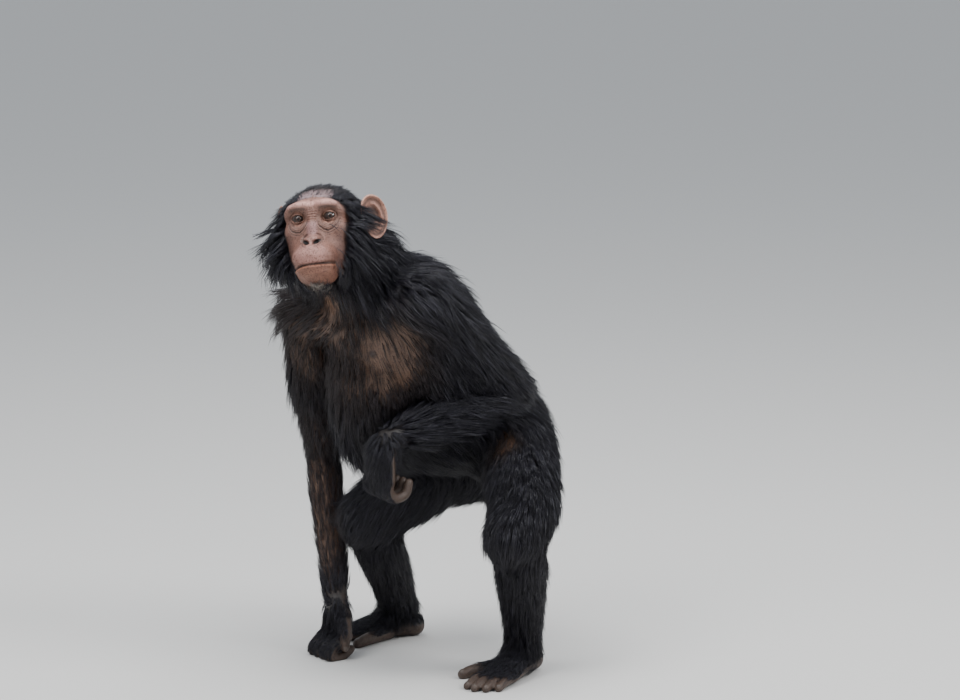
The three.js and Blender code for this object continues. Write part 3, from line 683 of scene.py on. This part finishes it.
def coat_at(points, normals):
    total, long, deep, grows = np.zeros((4, len(points)))
    ways, chart = np.zeros((len(points), 3)), np.zeros((len(points), 2))
    best = np.full(len(points), 1e9)

    # Each limb and the head has its say by how near it is, and the nearest one its square
    # of the map
    def add(index, apart, weight, way, length, depth, grow, place, shorter=1.0):
        total[:] += weight
        ways[:] += way * weight[:, None]
        long[:] += length * weight * shorter
        deep[:] += depth * weight * shorter
        grows[:] += grow * weight
        closer = apart < best
        best[closer] = apart[closer]
        cell = np.array([index % CHARTS, index // CHARTS])
        chart[closer] = (cell + 0.06 + 0.88 * np.stack(place, axis=1)[closer]) / CHARTS

    for index, (limb, sense, hang, length, depth, dorsal, kind) in enumerate(rows):
        centre, wide, down, along, size = limb.frame(STATIONS)
        off = points[:, None, :] - centre[None]
        j = np.argmin(np.einsum("ijk,ijk->ij", off, off), axis=1)
        off = off[np.arange(len(points)), j]
        w, d, a = (np.einsum("ij,ij->i", off, axis[j]) for axis in (wide, down, along))
        least = size[j].min(axis=1)
        reach = np.maximum(least, 20)
        share = np.sqrt((w / size[j, 0]) ** 2 + (d / size[j, 1]) ** 2 + (a / reach) ** 2)
        apart = (share - 1) * least
        weight = np.exp(-np.maximum(apart, 0) / (9 if kind == 0 else 3)) + 1e-9
        way = along[j] * sense
        way[:, 2] -= hang
        grow = np.ones(len(points))
        if kind:
            grow = smooth(normals @ dorsal, 0.0, 0.5)
            grow = grow * (0.9 if kind == 1 else fade(STATIONS[j], 0.3, 0.6))
        # no sleeve of long hair stands over the right forearm
        is_sleeve = limb is LIMBS["arm_right"]
        shorter = 1.0 - (0.35 * smooth(STATIONS[j], 0.45, 0.95) if is_sleeve else 0.0)
        place = STATIONS[j], (np.arctan2(d, w) / math.tau) % 1.0
        add(index, apart, weight, way, length, depth, grow, place, shorter)
    for centre, radius, more in RUFF:
        near = fade(away(points, centre), radius * 0.4, radius)
        deep += more * near * total
        long += more * near * total
    # the head: back over the crown, down and outwards on the cheeks, down the nape
    local = to_head(points)
    ray = unit(local - HEAD_CENTRE)
    apart = head_field(local)
    weight = 3 * np.exp(-np.maximum(apart, 0) / 5)
    side = np.abs(ray[:, 0])
    low = smooth(-ray[:, 2], -0.35, 0.35)
    bare = bare_face(local)
    front = smooth(-ray[:, 1], -0.45, 0.35)
    beside = smooth(side, 0.4, 0.8)
    beard = beard_at(local)
    way = np.stack([
        ray[:, 0] * (0.12 + 0.35 * low + 0.8 * beard), 1 - 0.15 * low - 0.2 * beside - 1.3 * beard,
        -0.05 - 0.85 * low - 0.5 * beside * (1 - low) - 0.4 * beard,
    ], axis=1) @ head_matrix.T
    ruff = np.interp(local[:, 2], *CHEEK_DEPTH) * np.where(local[:, 0] > 0, 0.85, 1.0)
    ruff *= 1 - 0.5 * smooth(ray[:, 1], 0.3, 0.8)
    depth = 5 + 23 * low * np.minimum(1, side * 1.6 + 0.4)
    depth += (ruff - depth) * beside
    length = 22 + 30 * low * np.minimum(1, side * 1.5 + 0.5)
    length += (16 + 1.15 * ruff - length) * beside
    crown = front * smooth(ray[:, 2], 0.2, 0.6) * (1 - beside)
    length = length * (1 - 0.4 * crown)
    depth = depth * (1 - 0.3 * crown)
    grow = fade(bare, 0.3, 0.8) * (1 - 0.3 * crown)
    brow_top = smooth(local[:, 2], 28, 33) * fade(local[:, 2], 42, 54) * (local[:, 1] < 40)
    grow *= 1 - 0.85 * brow_top * fade(np.abs(local[:, 0]), 20, 38)
    grow = np.maximum(grow, 0.26 * beard)
    length += (15 - length) * beard * bare
    depth += (6 - depth) * beard * bare
    polar = np.arccos(np.clip(-ray[:, 1], -1, 1)) / math.pi
    around = (np.arctan2(ray[:, 2], ray[:, 0]) / math.tau) % 1.0
    add(len(rows), apart, weight, way, length, depth, grow, (polar, around))
    lie = ways / total[:, None]
    lie = unit(lie - normals * np.sum(lie * normals, axis=1, keepdims=True))
    return lie, long / total, deep / total, grows / total, chart, bare * (apart < 4), local


# The breast and the inner sides are thinly haired, and brown skin shows there
THROAT = np.array((14.0, -345.0, 640.0))
THIN = [
    # centre, radius, share of the coat that is missing, how much it is drawn out upwards
    ((92, -279, 552), 86, 0.88, 0.75), ((-66, -334, 565), 92, 0.7, 0.7),
    ((22, -334, 612), 66, 0.74, 0.6), (THROAT, 42, 0.92, 0.55),
    ((20, -320, 530), 95, 0.62, 0.8), ((116, -54, 385), 36, 0.8, 0.8),
    ((-112, -280, 240), 70, 0.6, 0.33), ((-128, -270, 420), 60, 0.45, 0.5),
]


def thin_at(points):
    thin = np.zeros(len(points))
    for centre, radius, much, drawn in THIN:
        off = away(points, centre, (1, 1, drawn))
        thin = np.maximum(thin, much * fade(off, radius * 0.45, radius * 1.15))
    for nipple in NIPPLES:
        off = away(points, nipple, (1, 1, 0.5))
        thin = np.maximum(thin, 0.97 * fade(off, 8, 16))
    return thin * smooth(points[:, 2], 100, 150)


# Ears grow no coat. Beside how much a place is ear, how far it is from the ear's middle
# to its rim and whether it is inside the bowl
def bare_ears(points):
    local = to_head(points)
    off_head = smooth(head_field(local), 1.0, 4.0)
    near, reach, inside = (np.zeros(len(points)) for _ in range(3))
    for side, (place, tilt, turn) in EAR_PLACE.items():
        off = (local - place) @ ear_turn(tilt, turn)
        here = (np.linalg.norm(off / (24, 31, 43), axis=1) < 1) * off_head
        r = np.hypot(off[:, 1] / EAR_WIDE, off[:, 2] / EAR_TALL)
        near = np.maximum(near, here)
        reach = np.where(here > 0, r, reach)
        bowl = -9.5 * (1 - np.clip(r, 0, 1) ** 2.75)
        inside = np.where(here > 0, smooth(side * off[:, 0] - bowl, 1.5, 3.0), inside)
    return near, reach, inside


# Colours of the skin, by place: the face and ears, the breast, palms and soles
def skin_look(points, normals):
    lie, long, deep, grows, chart, face, local = coat_at(points, normals)
    x, y, z = local.T
    side = np.abs(x)
    under = np.array((0.022, 0.018, 0.017))
    colour = np.tile(under, (len(points), 1))

    def blend(amount, tint):
        nonlocal colour
        colour = colour + (np.array(tint) - colour) * np.clip(amount, 0, 1)[:, None]

    thin = thin_at(points)
    blend(thin * 1.7, (0.135, 0.077, 0.05))
    blend(fade(away(points, THROAT, (1, 1, 0.6)), 12, 34), (0.24, 0.12, 0.06))
    for nipple in NIPPLES:
        off = away(points, nipple)
        blend(fade(off, 5, 9), (0.042, 0.024, 0.019))
        # painted highlight: a paler spot on the tip of each raised nipple, inside its dark ring
        blend(fade(off, 1.5, 3.5), (0.11, 0.066, 0.052))
    naked = np.clip(1 - grows, 0, 1) * (face < 0.05)
    blend(smooth(naked, 0.3, 0.9), (0.064, 0.040, 0.028))
    ears_here, reach, bowl = bare_ears(points)
    blend(ears_here, (0.26, 0.13, 0.095))
    # painted highlight on the ear's rolled rim
    blend(ears_here * smooth(reach, 0.82, 0.92), (0.50, 0.27, 0.20))
    # painted shade in the ear's bowl and in the groove inside the rim, with a painted highlight on
    # the inner ridge
    blend(ears_here * bowl * fade(reach, 0.42, 0.62), (0.085, 0.042, 0.03))
    blend(ears_here * bowl * 0.6 * bump(reach, 0.8, 0.06), (0.09, 0.045, 0.03))
    blend(ears_here * bowl * 0.7 * bump(reach, 0.63, 0.06), (0.42, 0.22, 0.16))
    on_head = (head_field(local) < 6) * (1 - ears_here)
    above_brow = smooth(z + 0.007 * (side - 20) ** 2, 29, 35)
    forehead = on_head * above_brow * fade(y, 4, 40) * fade(side, 30, 46)
    blend(forehead * 0.9, (0.27, 0.19, 0.20))
    on_face = np.clip(face * 1.3, 0, 1) * (1 - ears_here)
    blend(on_face, (0.20, 0.095, 0.068))
    hollow = fade(np.hypot((side - EYE_APART) / 1.5, (z - 3) / 0.95), 9, 17)
    blend(on_face * 0.6 * hollow, (0.12, 0.062, 0.043))
    # painted shadow under the brow ridge, together with the dark of its sparse brow hairs
    brow_shadow_and_hairs = bump(z, 16 - 0.012 * (side - 24) ** 2, 2.4)
    brow_shadow_and_hairs = brow_shadow_and_hairs * smooth(side, 8, 14) * fade(side, 38, 44)
    blend(on_face * 0.8 * brow_shadow_and_hairs, (0.04, 0.018, 0.01))
    # painted highlight along the brow ridge
    brow_highlight = bump(z, 25.5 - 0.007 * (side - 20) ** 2, 5.0) * fade(side, 38, 48)
    blend(on_face * 0.85 * brow_highlight, (0.62, 0.34, 0.29))
    bag = bag_at(x, z)
    under = smooth(-z, 3, 9) * fade(side, 43, 50)
    # painted shade in each fold under the eye, and a painted highlight on the roll just above it
    for at, much, wide in BAG_FOLDS:
        blend(on_face * (0.35 + 0.25 * much) * under * bump(bag, at, wide), (0.045, 0.024, 0.02))
        blend(on_face * 0.4 * under * bump(bag, at - 0.075, 0.03), (0.36, 0.2, 0.145))
    blend(on_face * 0.6 * bump(bag, 0.50, 0.06), (0.40, 0.21, 0.15))
    muzzle = fade(np.hypot(x / 31, (z + 62) / 21), 0.6, 1.15)
    blend(on_face * 0.65 * muzzle, (0.42, 0.215, 0.18))
    bridge = fade(side, 5, 12) * smooth(z, -34, -26) * fade(z, -12, -4)
    blend(on_face * 0.5 * bridge, (0.40, 0.23, 0.23))
    nose = fade(np.hypot(x / 14, (z + 38) / 9), 0.6, 1.1)
    blend(on_face * 0.5 * nose, (0.40, 0.22, 0.19))
    # painted shade in the crease round the nose wings
    wing = 0.6 * bump(wing_at(x, z), NOSE_WING, 1.7) * (y < -20) * smooth(side, 5, 9)
    blend(wing, (0.07, 0.035, 0.028))
    cheek = smooth(side, 30, 44) * smooth(-z, 12, 40) * on_face
    blend(cheek * 0.7, (0.09, 0.044, 0.034))
    off = z - mouth_height(x)
    lower = smooth(-off, 1, 6) * fade(-off, 26, 34) * fade(side, 24, 40)
    blend(on_face * 0.7 * lower, (0.22, 0.095, 0.058))
    mouth = fade(side, MOUTH_HALF - 4, MOUTH_HALF + 1) * (y < -15)
    blend(mouth * 0.8 * bump(off, -2.7, 1.1), (0.50, 0.20, 0.11))
    # painted shade: the groove between the lips is painted near black
    blend(mouth * bump(off, 0, 1.6), (0.02, 0.01, 0.007))
    # painted shade: the nostrils' hollows are painted near black
    nostril = nostril_at(x, z)
    blend(fade(nostril, 0.7, 1.2) * (y < -20), (0.008, 0.005, 0.005))
    return (colour,)


def in_lots(work, points, normals, lot=20000):
    done = [work(points[i:i + lot], normals[i:i + lot]) for i in range(0, len(points), lot)]
    return [np.concatenate(result) for result in zip(*done)]


skin_normals = read_out(skin_mesh.vertices, "normal", np.float32).astype(float)
colour, = in_lots(skin_look, skin_points, skin_normals)
tint = skin_mesh.attributes.new("marking", "FLOAT_COLOR", "POINT")
tint.data.foreach_set("color", np.column_stack([colour, np.ones(len(colour))]).ravel())


# A finish is a material with the few patterns that skin, horn and hair are made of. An
# input is given a number, a colour or what another node puts out.
class Finish:
    def __init__(self, name):
        self.material = bpy.data.materials.new(name)
        self.material.use_nodes = True
        self.shader = self.material.node_tree.nodes["Principled BSDF"]

    def node(self, kind, inputs, **settings):
        node = self.material.node_tree.nodes.new("ShaderNode" + kind)
        for key, value in settings.items():
            setattr(node, key, value)
        self.give(node, inputs)
        return node

    def give(self, node, inputs):
        for key, value in inputs.items():
            if isinstance(value, bpy.types.NodeSocket):
                self.material.node_tree.links.new(value, node.inputs[key])
            else:
                node.inputs[key].default_value = value

    def place(self):
        return self.node("TexCoord", {}).outputs["Object"]

    def attribute(self, name):
        return self.node("Attribute", {}, attribute_name=name).outputs

    def noise(self, place, scale, detail):
        pattern = {"Vector": place, "Scale": scale, "Detail": detail, "Roughness": 0.55}
        return self.node("TexNoise", pattern).outputs["Fac"]

    def remap(self, value, low, high, to_low, to_high):
        ends = {"From Min": low, "From Max": high, "To Min": to_low, "To Max": to_high}
        return self.node("MapRange", {"Value": value, **ends}).outputs["Result"]

    def mix(self, share, a, b, blend="MIX"):
        a, b = ((*v, 1) if isinstance(v, tuple) else v for v in (a, b))
        inputs = {0: share, 6: a, 7: b}
        return self.node("Mix", inputs, data_type="RGBA", blend_type=blend).outputs[2]


finish = Finish("bare skin")
place = finish.place()
mottle = finish.noise(place, 95, 4)
speck = finish.noise(place, 420, 2)
blotches = finish.remap(mottle, 0.35, 0.7, 0.0, 0.55)
colour = finish.mix(blotches, finish.attribute("marking")["Color"], (0.52, 0.42, 0.38), "MULTIPLY")
spots = finish.remap(speck, 0.53, 0.64, 0.0, 0.85)
colour = finish.mix(spots, colour, (0.34, 0.24, 0.2), "MULTIPLY")
pale = finish.remap(finish.noise(place, 560, 2), 0.58, 0.7, 0.0, 0.4)
colour = finish.mix(pale, colour, (1.7, 1.75, 1.9), "MULTIPLY")
stretch = finish.node("Mapping", {"Scale": (1.0, 1.0, 1.6), "Vector": place}).outputs["Vector"]
creases = finish.node("TexVoronoi", {"Scale": 520, "Vector": stretch}, feature="DISTANCE_TO_EDGE")
creases = finish.remap(creases.outputs["Distance"], 0.0, 0.18, 0.0, 1.0)
height = {0: creases, 1: 0.6, 2: finish.noise(place, 240, 4)}
height = finish.node("Math", height, operation="MULTIPLY_ADD").outputs[0]
relief = finish.node("Bump", {"Strength": 0.45, "Distance": 0.0006, "Height": height})
finish.give(finish.shader, {
    "Base Color": colour, "Roughness": finish.remap(mottle, 0.3, 0.7, 0.42, 0.6),
    "Subsurface Weight": 0.05, "Subsurface Radius": (0.003, 0.0016, 0.0012),
    "Subsurface Scale": 1.0, "Normal": relief.outputs["Normal"],
})
skin_mesh.materials.clear()
skin_mesh.materials.append(finish.material)
skin_mesh.transform(Matrix.Diagonal((0.001, 0.001, 0.001, 1)) @ Matrix.Translation(PLACE))
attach(skin, "root")
FLESH = ["head", "ear_left", "ear_right", "chest", "neck", "pelvis"]
FLESH += [part + "_" + side for side in ("left", "right")
          for part in ("arm", "forearm", "thigh", "shank", "hand", "foot")]
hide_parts(*FLESH)

# Eyes: a ball held by the lids, with a dark brown white, a brown iris and a black pupil,
# all under a clear wet dome. Both look at the camera.
def towards(azimuth, height):
    azimuth, height = math.radians(azimuth), math.radians(height)
    level = math.cos(height)
    return math.sin(azimuth) * level, -math.cos(azimuth) * level, math.sin(height)


gaze = unit(np.array(towards(55, 10.4)) @ head_matrix)
finish = Finish("eye")
ramp = finish.node("ValToRGB", {"Fac": finish.attribute("off_gaze")["Fac"]})
stops = ramp.color_ramp.elements
stops[0].position, stops[0].color = 0.15, (0.002, 0.001, 0.001, 1)
stops[1].position, stops[1].color = 0.19, (0.035, 0.013, 0.006, 1)
for position, tone in ((0.36, (0.028, 0.011, 0.005, 1)), (0.43, (0.007, 0.004, 0.003, 1)),
                       (0.55, (0.018, 0.011, 0.009, 1)), (0.9, (0.045, 0.026, 0.02, 1))):
    stop = stops.new(position)
    stop.color = tone
wet = {"Base Color": ramp.outputs["Color"], "Roughness": 0.04, "Specular IOR Level": 0.5}
finish.give(finish.shader, wet)
for name, side in (("eye_left", 1), ("eye_right", -1)):
    bm = bmesh.new()
    verts, ball = ball_in(bm, 48, 36)
    off_gaze = np.arccos(np.clip(ball @ gaze, -1, 1))
    dome = 0.7 * fade(off_gaze, 0.25, 0.62)
    points = ball * (EYE_RADIUS - 0.05 + dome)[:, None] + (side * EYE_APART, 0, 0)
    move_to(verts, to_frame(from_head(points)))
    piece = moulded(name + "_ball", bm)
    ring = piece.data.attributes.new("off_gaze", "FLOAT", "POINT")
    ring.data.foreach_set("value", off_gaze)
    piece.data.materials.append(finish.material)
    piece.data.shade_smooth()
    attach(piece, "root")
    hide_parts(name)

# Nails: thin plates of dark horn, grown into the skin at their root. One lies on the back
# of the last joint of every finger and toe.
bm = bmesh.new()
for group, dorsal in ((HAND, None), (FOOT, (0, 0, 1))):
    for name, parts in group.items():
        for limb in parts[2 if group is FOOT else 1:]:
            centre, wide, down, along, size = (v[0] for v in limb.frame(np.array([0.93])))
            bend = limb.frame(np.array([0.6]))[3][0]
            if dorsal is None:
                out = bend - along * np.dot(bend, along)
                out = unit(out) if np.linalg.norm(out) > 0.08 else np.array((0.0, -1.0, 0.0))
            else:
                out = unit(np.array(dorsal) - along * np.dot(dorsal, along))
            across = np.cross(out, along)
            verts, co = ball_in(bm, 20, 12)
            r = size[0]
            spot = centre + along * r * 0.35 + out * (r * 0.42)
            co = (spot + np.outer(co[:, 0] * r * 0.66, across) + np.outer(co[:, 1] * r * 0.8, along)
                  + np.outer(co[:, 2] * r * 0.62, out))
            co[:, 2] = np.maximum(co[:, 2], FLOOR)
            move_to(verts, to_frame(co))
nails = moulded("nails", bm)
nails.data.shade_smooth()
finish = Finish("nail horn")
tone = finish.noise(finish.place(), 300, 3)
horn = finish.mix(tone, (0.035, 0.025, 0.02), (0.09, 0.065, 0.05))
finish.give(finish.shader, {"Base Color": horn, "Roughness": 0.35})
nails.data.materials.append(finish.material)
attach(nails, "root")

# The coat: locks of flat tapered hairs over the skin, led along its lie. A lock's guide
# runs over the skin in three steps, and its hairs draw together towards its tip.
finish = Finish("coat")
place = finish.place()
patch = finish.noise(place, 24, 4)
streak = finish.remap(finish.noise(place, 260, 2), 0.3, 0.7, 0.0, 1.0)
tone = finish.mix(streak, (0.55, 0.55, 0.6), (1.4, 1.35, 1.3))
finish.give(finish.shader, {
    "Base Color": finish.mix(1.0, finish.attribute("tint")["Color"], tone, "MULTIPLY"),
    "Roughness": finish.remap(patch, 0.3, 0.7, 0.36, 0.5), "Specular IOR Level": 0.45,
})
coat_material = finish.material

rng = np.random.default_rng(41)
corners = skin_points[skin_tris]
edge_a, edge_b = corners[:, 1] - corners[:, 0], corners[:, 2] - corners[:, 0]
face_normal = np.cross(edge_a, edge_b)
area = np.linalg.norm(face_normal, axis=1) / 2
face_normal = unit(face_normal)
middle = corners.mean(axis=1)
_, long, deep, grows, *_ = in_lots(coat_at, middle, face_normal)
grows = grows * (1 - thin_at(middle)) * (1 - bare_ears(middle)[0])
# Short hair needs more roots for the same cover
density = area * grows * np.clip(46 / np.maximum(long, 8), 0.75, 2.6) * (middle[:, 2] > 3)
density *= np.clip(deep / 20, 1, 2.3)

GUIDES = 19000
HAIRS = 212000


def scatter(count):
    pick = np.sort(rng.choice(len(density), count, p=density / density.sum()))
    u, v = rng.random(count), rng.random(count)
    flip = u + v > 1
    u[flip], v[flip] = 1 - u[flip], 1 - v[flip]
    at = corners[pick, 0] + edge_a[pick] * u[:, None] + edge_b[pick] * v[:, None]
    return at, face_normal[pick]


def nearest(points):
    hits = [skin_tree.find_nearest(p) for p in points.tolist()]
    return np.array([h[0] for h in hits]), np.array([h[1] for h in hits])


guide_root, guide_normal = scatter(GUIDES)
lie, long, deep, _, chart, bare, local = in_lots(coat_at, guide_root, guide_normal)
thin = thin_at(guide_root)
long = long * (1 + 0.15 * rng.standard_normal(GUIDES).clip(-2, 2)) * (1 - 0.5 * thin)
deep = deep * (1 + 0.22 * rng.standard_normal(GUIDES).clip(-2, 2)) * (1 - 0.5 * thin)
lie = unit(lie + 0.10 * rng.standard_normal(lie.shape))
STEPS = 3
guide = [guide_root - guide_normal * 1.0]
at = guide_root
way = lie
lift = deep / long
for k in range(1, STEPS + 1):
    u = k / STEPS
    rise = (1 - (1 - u) ** 1.7) - (1 - (1 - u + 1 / STEPS) ** 1.7)
    at = at + (way + guide_normal * (lift * rise * STEPS)[:, None]) * (long / STEPS)[:, None]
    spot, normal = nearest(at)
    height = np.sum((at - spot) * normal, axis=1)
    far = away(at, spot)
    target = deep * (1 - (1 - u) ** 1.7)
    height = np.where(height < 0, -far, far)
    kept = np.clip(height, target * 0.5, np.maximum(target, 1.0))
    kept = np.where(height > target, target + (height - target) * 0.45, kept)
    at = spot + normal * kept[:, None]
    at[:, 2] = np.maximum(at[:, 2], FLOOR + 1)
    guide.append(at)
    if k < STEPS:
        flow = in_lots(coat_at, spot, normal)[0]
        way = unit(way * 0.45 + flow * 0.55)
        way = unit(way - normal * np.sum(way * normal, axis=1, keepdims=True))
guide = np.stack(guide, axis=1)

tree = KDTree(GUIDES)
for i, root in enumerate(guide_root.tolist()):
    tree.insert(root, i)
tree.balance()
hair_root, hair_normal = scatter(HAIRS)
owner = np.array([tree.find(p)[1] for p in hair_root.tolist()])
agree = np.sum(hair_normal * guide_normal[owner], axis=1) > 0.45
hair_root, hair_normal, owner = hair_root[agree], hair_normal[agree], owner[agree]
count = len(owner)
offset = hair_root - guide_root[owner]
# Hairs of the beard stand singly
whisker = (beard_at(local) * smooth(bare, 0.05, 0.4) * fade(long, 20, 30))[owner]
gather = (0.38 - 0.2 * smooth(deep[owner], 24, 45) - 0.3 * whisker)[:, None]
size = 1 + 0.16 * rng.standard_normal(count).clip(-2, 2)
wander = rng.standard_normal((count, 3)) * (long[owner] * (0.05 + 0.11 * whisker))[:, None]
path = []
for k in range(STEPS + 1):
    u = k / STEPS
    led = guide[owner, 0] + (guide[owner, k] - guide[owner, 0]) * size[:, None]
    path.append(led + offset * (1 - gather * u) + wander * u**1.5)
path = np.stack(path, axis=1)
path[:, :, 2] = np.maximum(path[:, :, 2], FLOOR + 0.6)

# Colours of the coat: black, tinted blue as a painted blue-grey sheen, greyer on the forehead,
# brown where thin, whitish beard
hair_long = long[owner]
hair_local = local[owner]
# painted sheen: the blue in the black stands in for the blue-grey reflection on the hair
shade = np.tile((0.0135, 0.0128, 0.0195), (count, 1))
shade *= (1 + 0.35 * rng.standard_normal(count).clip(-1.8, 2.5))[:, None]
forehead = smooth(hair_local[:, 2], 32, 42) * fade(hair_local[:, 1], 10, 45)
forehead *= fade(head_field(hair_local), 3, 6)
shade += (np.array((0.07, 0.06, 0.055)) - shade) * (0.5 * forehead)[:, None]
brown = thin[owner]
shade += (np.array((0.05, 0.03, 0.02)) - shade) * (0.6 * brown)[:, None]
whitish = whisker * (0.85 - 0.35 * smooth(hair_local[:, 2], -100, -84))
shade += (np.array((0.42, 0.38, 0.33)) - shade) * whitish[:, None]

# Each hair is a closed spindle of three sides: a root point, one ring (two on long hairs) and a tip
tangent = unit(path[:, 2] - path[:, 0])
guide_n = guide_normal[owner]
across = unit(np.cross(tangent, guide_n))
turn = rng.uniform(-0.6, 0.6, count)[:, None]
up = np.cross(across, tangent)
across, up = across * np.cos(turn) + up * np.sin(turn), up * np.cos(turn) - across * np.sin(turn)
width = np.clip(hair_long * 0.0135, 0.3, 0.74) * rng.uniform(0.7, 1.2, count) * (1 - 0.3 * whisker)
thick = width * 0.6
three_joints = hair_long > 58


def spindles(chosen, rings):
    n, size = len(chosen), 3 * len(rings) + 2
    verts = np.zeros((n, size, 3))
    verts[:, 0] = path[chosen, 0]
    verts[:, -1] = path[chosen, STEPS]
    for ring, (k, share) in enumerate(rings):
        at = path[chosen, k]
        w = (width[chosen] * share)[:, None] * across[chosen]
        t = (thick[chosen] * share)[:, None] * up[chosen]
        verts[:, 1 + ring * 3] = at - w - t * 0.5
        verts[:, 2 + ring * 3] = at + w - t * 0.5
        verts[:, 3 + ring * 3] = at + t
    faces = [(0, 2, 1), (0, 3, 2), (0, 1, 3)]
    for ring in range(1, len(rings)):
        low = ring * 3 - 2
        for a, b in ((low, low + 1), (low + 1, low + 2), (low + 2, low)):
            faces += [(a, b, b + 3), (a, b + 3, a + 3)]
    low, tip = size - 4, size - 1
    faces += [(low, low + 1, tip), (low + 1, low + 2, tip), (low + 2, low, tip)]
    index = np.array(faces)[None] + (np.arange(n) * size)[:, None, None]
    spread = np.linspace(0, 1, size)
    corner = np.stack([np.sin(np.arange(size) * 2.1), 2 * spread - 1], axis=1) * 0.0014
    patch = chart[owner[chosen]][:, None, :] + corner[None]
    tone = np.column_stack([shade[chosen].clip(0.002, 1), np.ones(n)])
    tone = np.repeat(tone, size, axis=0)
    return verts.reshape(-1, 3), index.reshape(-1, 3), patch.reshape(-1, 2), tone


def make_coat(name, chosen):
    fine = three_joints[chosen]
    verts, index, patch, tone = spindles(chosen[fine], ((1, 1.0), (2, 0.78)))
    more = spindles(chosen[~fine], ((1, 1.0),))
    index = np.concatenate([index, more[1] + len(verts)])
    verts = to_frame(np.concatenate([verts, more[0]]))
    patch, tone = np.concatenate([patch, more[2]]), np.concatenate([tone, more[3]])
    mesh = bpy.data.meshes.new(name)
    mesh.vertices.add(len(verts))
    mesh.vertices.foreach_set("co", verts.astype(np.float32).ravel())
    mesh.loops.add(index.size)
    mesh.loops.foreach_set("vertex_index", index.astype(np.int32).ravel())
    mesh.polygons.add(len(index))
    mesh.polygons.foreach_set("loop_start", np.arange(len(index), dtype=np.int32) * 3)
    mesh.polygons.foreach_set("use_smooth", np.ones(len(index), bool))
    mesh.update(calc_edges=True)
    tint = mesh.attributes.new("tint", "FLOAT_COLOR", "POINT")
    tint.data.foreach_set("color", tone.ravel())
    uv = mesh.uv_layers.new(name="OFBake")
    uv.data.foreach_set("uv", patch[index.ravel()].astype(np.float32).ravel())
    mesh.validate()
    mesh.materials.append(coat_material)
    piece = piece_of(name, mesh)
    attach(piece, "root")


# The coat is kept in pieces of one part of the body each
cell = np.floor(chart[owner] * CHARTS).astype(int)
region = cell[:, 1] * CHARTS + cell[:, 0]
GROUPS = {
    "trunk": ("chest", "belly"), "rump": ("pelvis", "buttock"), "neck": ("neck",),
    "shoulders": ("shoulder",), "arms": ("arm",), "forearms": ("forearm",), "thighs": ("thigh",),
    "shanks": ("shank",),
}
MOST = 190000


def make_in_lots(name, chosen):
    chosen = np.flatnonzero(chosen)
    faces = np.where(three_joints[chosen], 12, 6).sum()
    for i, part in enumerate(np.array_split(chosen, math.ceil(faces / MOST))):
        make_coat(f"coat_{name}_{i + 1}", part)


for group, limbs in GROUPS.items():
    members = [i for i, name in enumerate(LIMBS) if name.split("_")[0] in limbs]
    make_in_lots(group, np.isin(region, members))
make_in_lots("head", region == len(rows))
make_coat("coat_hands_and_feet", np.flatnonzero((region >= len(LIMBS)) & (region < len(rows))))

# Floor: the pale seamless paper of a studio, lying flat under the feet. It belongs to the
# picture and isn't a part of the animal.
bm = bmesh.new()
bmesh.ops.create_grid(bm, x_segments=1, y_segments=1, size=12)
floor = moulded("floor", bm)
finish = Finish("studio floor")
finish.give(finish.shader, {"Base Color": (0.62, 0.61, 0.59, 1), "Roughness": 0.8})
floor.data.materials.append(finish.material)

# Light: soft boxes of a studio, with the brightest above and a paler fill. They hang clear
# of the picture on every side.
scene = bpy.context.scene
world = bpy.data.worlds.new("studio")
scene.world = world
world.use_nodes = True
glow = world.node_tree.nodes["Background"].inputs
glow["Color"].default_value = (0.86, 0.92, 1.0, 1)
glow["Strength"].default_value = 0.72
middle_of_body = Vector(to_frame(np.array((20.0, -200.0, 480.0))))
for name, way, power, size in (
    ("sky", (0.2, -0.1, 3.2), 118, 2.6),
    ("key", (0.6, -2.6, 2.6), 66, 1.6),
    ("rim", (2.6, 1.6, 2.2), 85, 1.4),
):
    light = bpy.data.lights.new(name, "AREA")
    light.energy = power
    light.size = size
    lamp = piece_of(name, light)
    lamp.location = middle_of_body + Vector(way)
    lamp.rotation_euler = (-Vector(way)).to_track_quat("-Z", "Y").to_euler()

# Camera: a long lens that stands far off at the photograph's angle, and looks at the
# middle of the animal.
AIM = np.array((-83.87, 34.71, 498.18))
DISTANCE = 6.5
data = bpy.data.cameras.new("camera")
data.lens = 141.74
data.sensor_width = 36
data.clip_end = 60
camera = piece_of("camera", data)
way = Vector(towards(55, 10.38))
camera.location = Vector(to_frame(AIM)) + way * DISTANCE
camera.rotation_euler = (-way).to_track_quat("-Z", "Y").to_euler()
scene.camera = camera
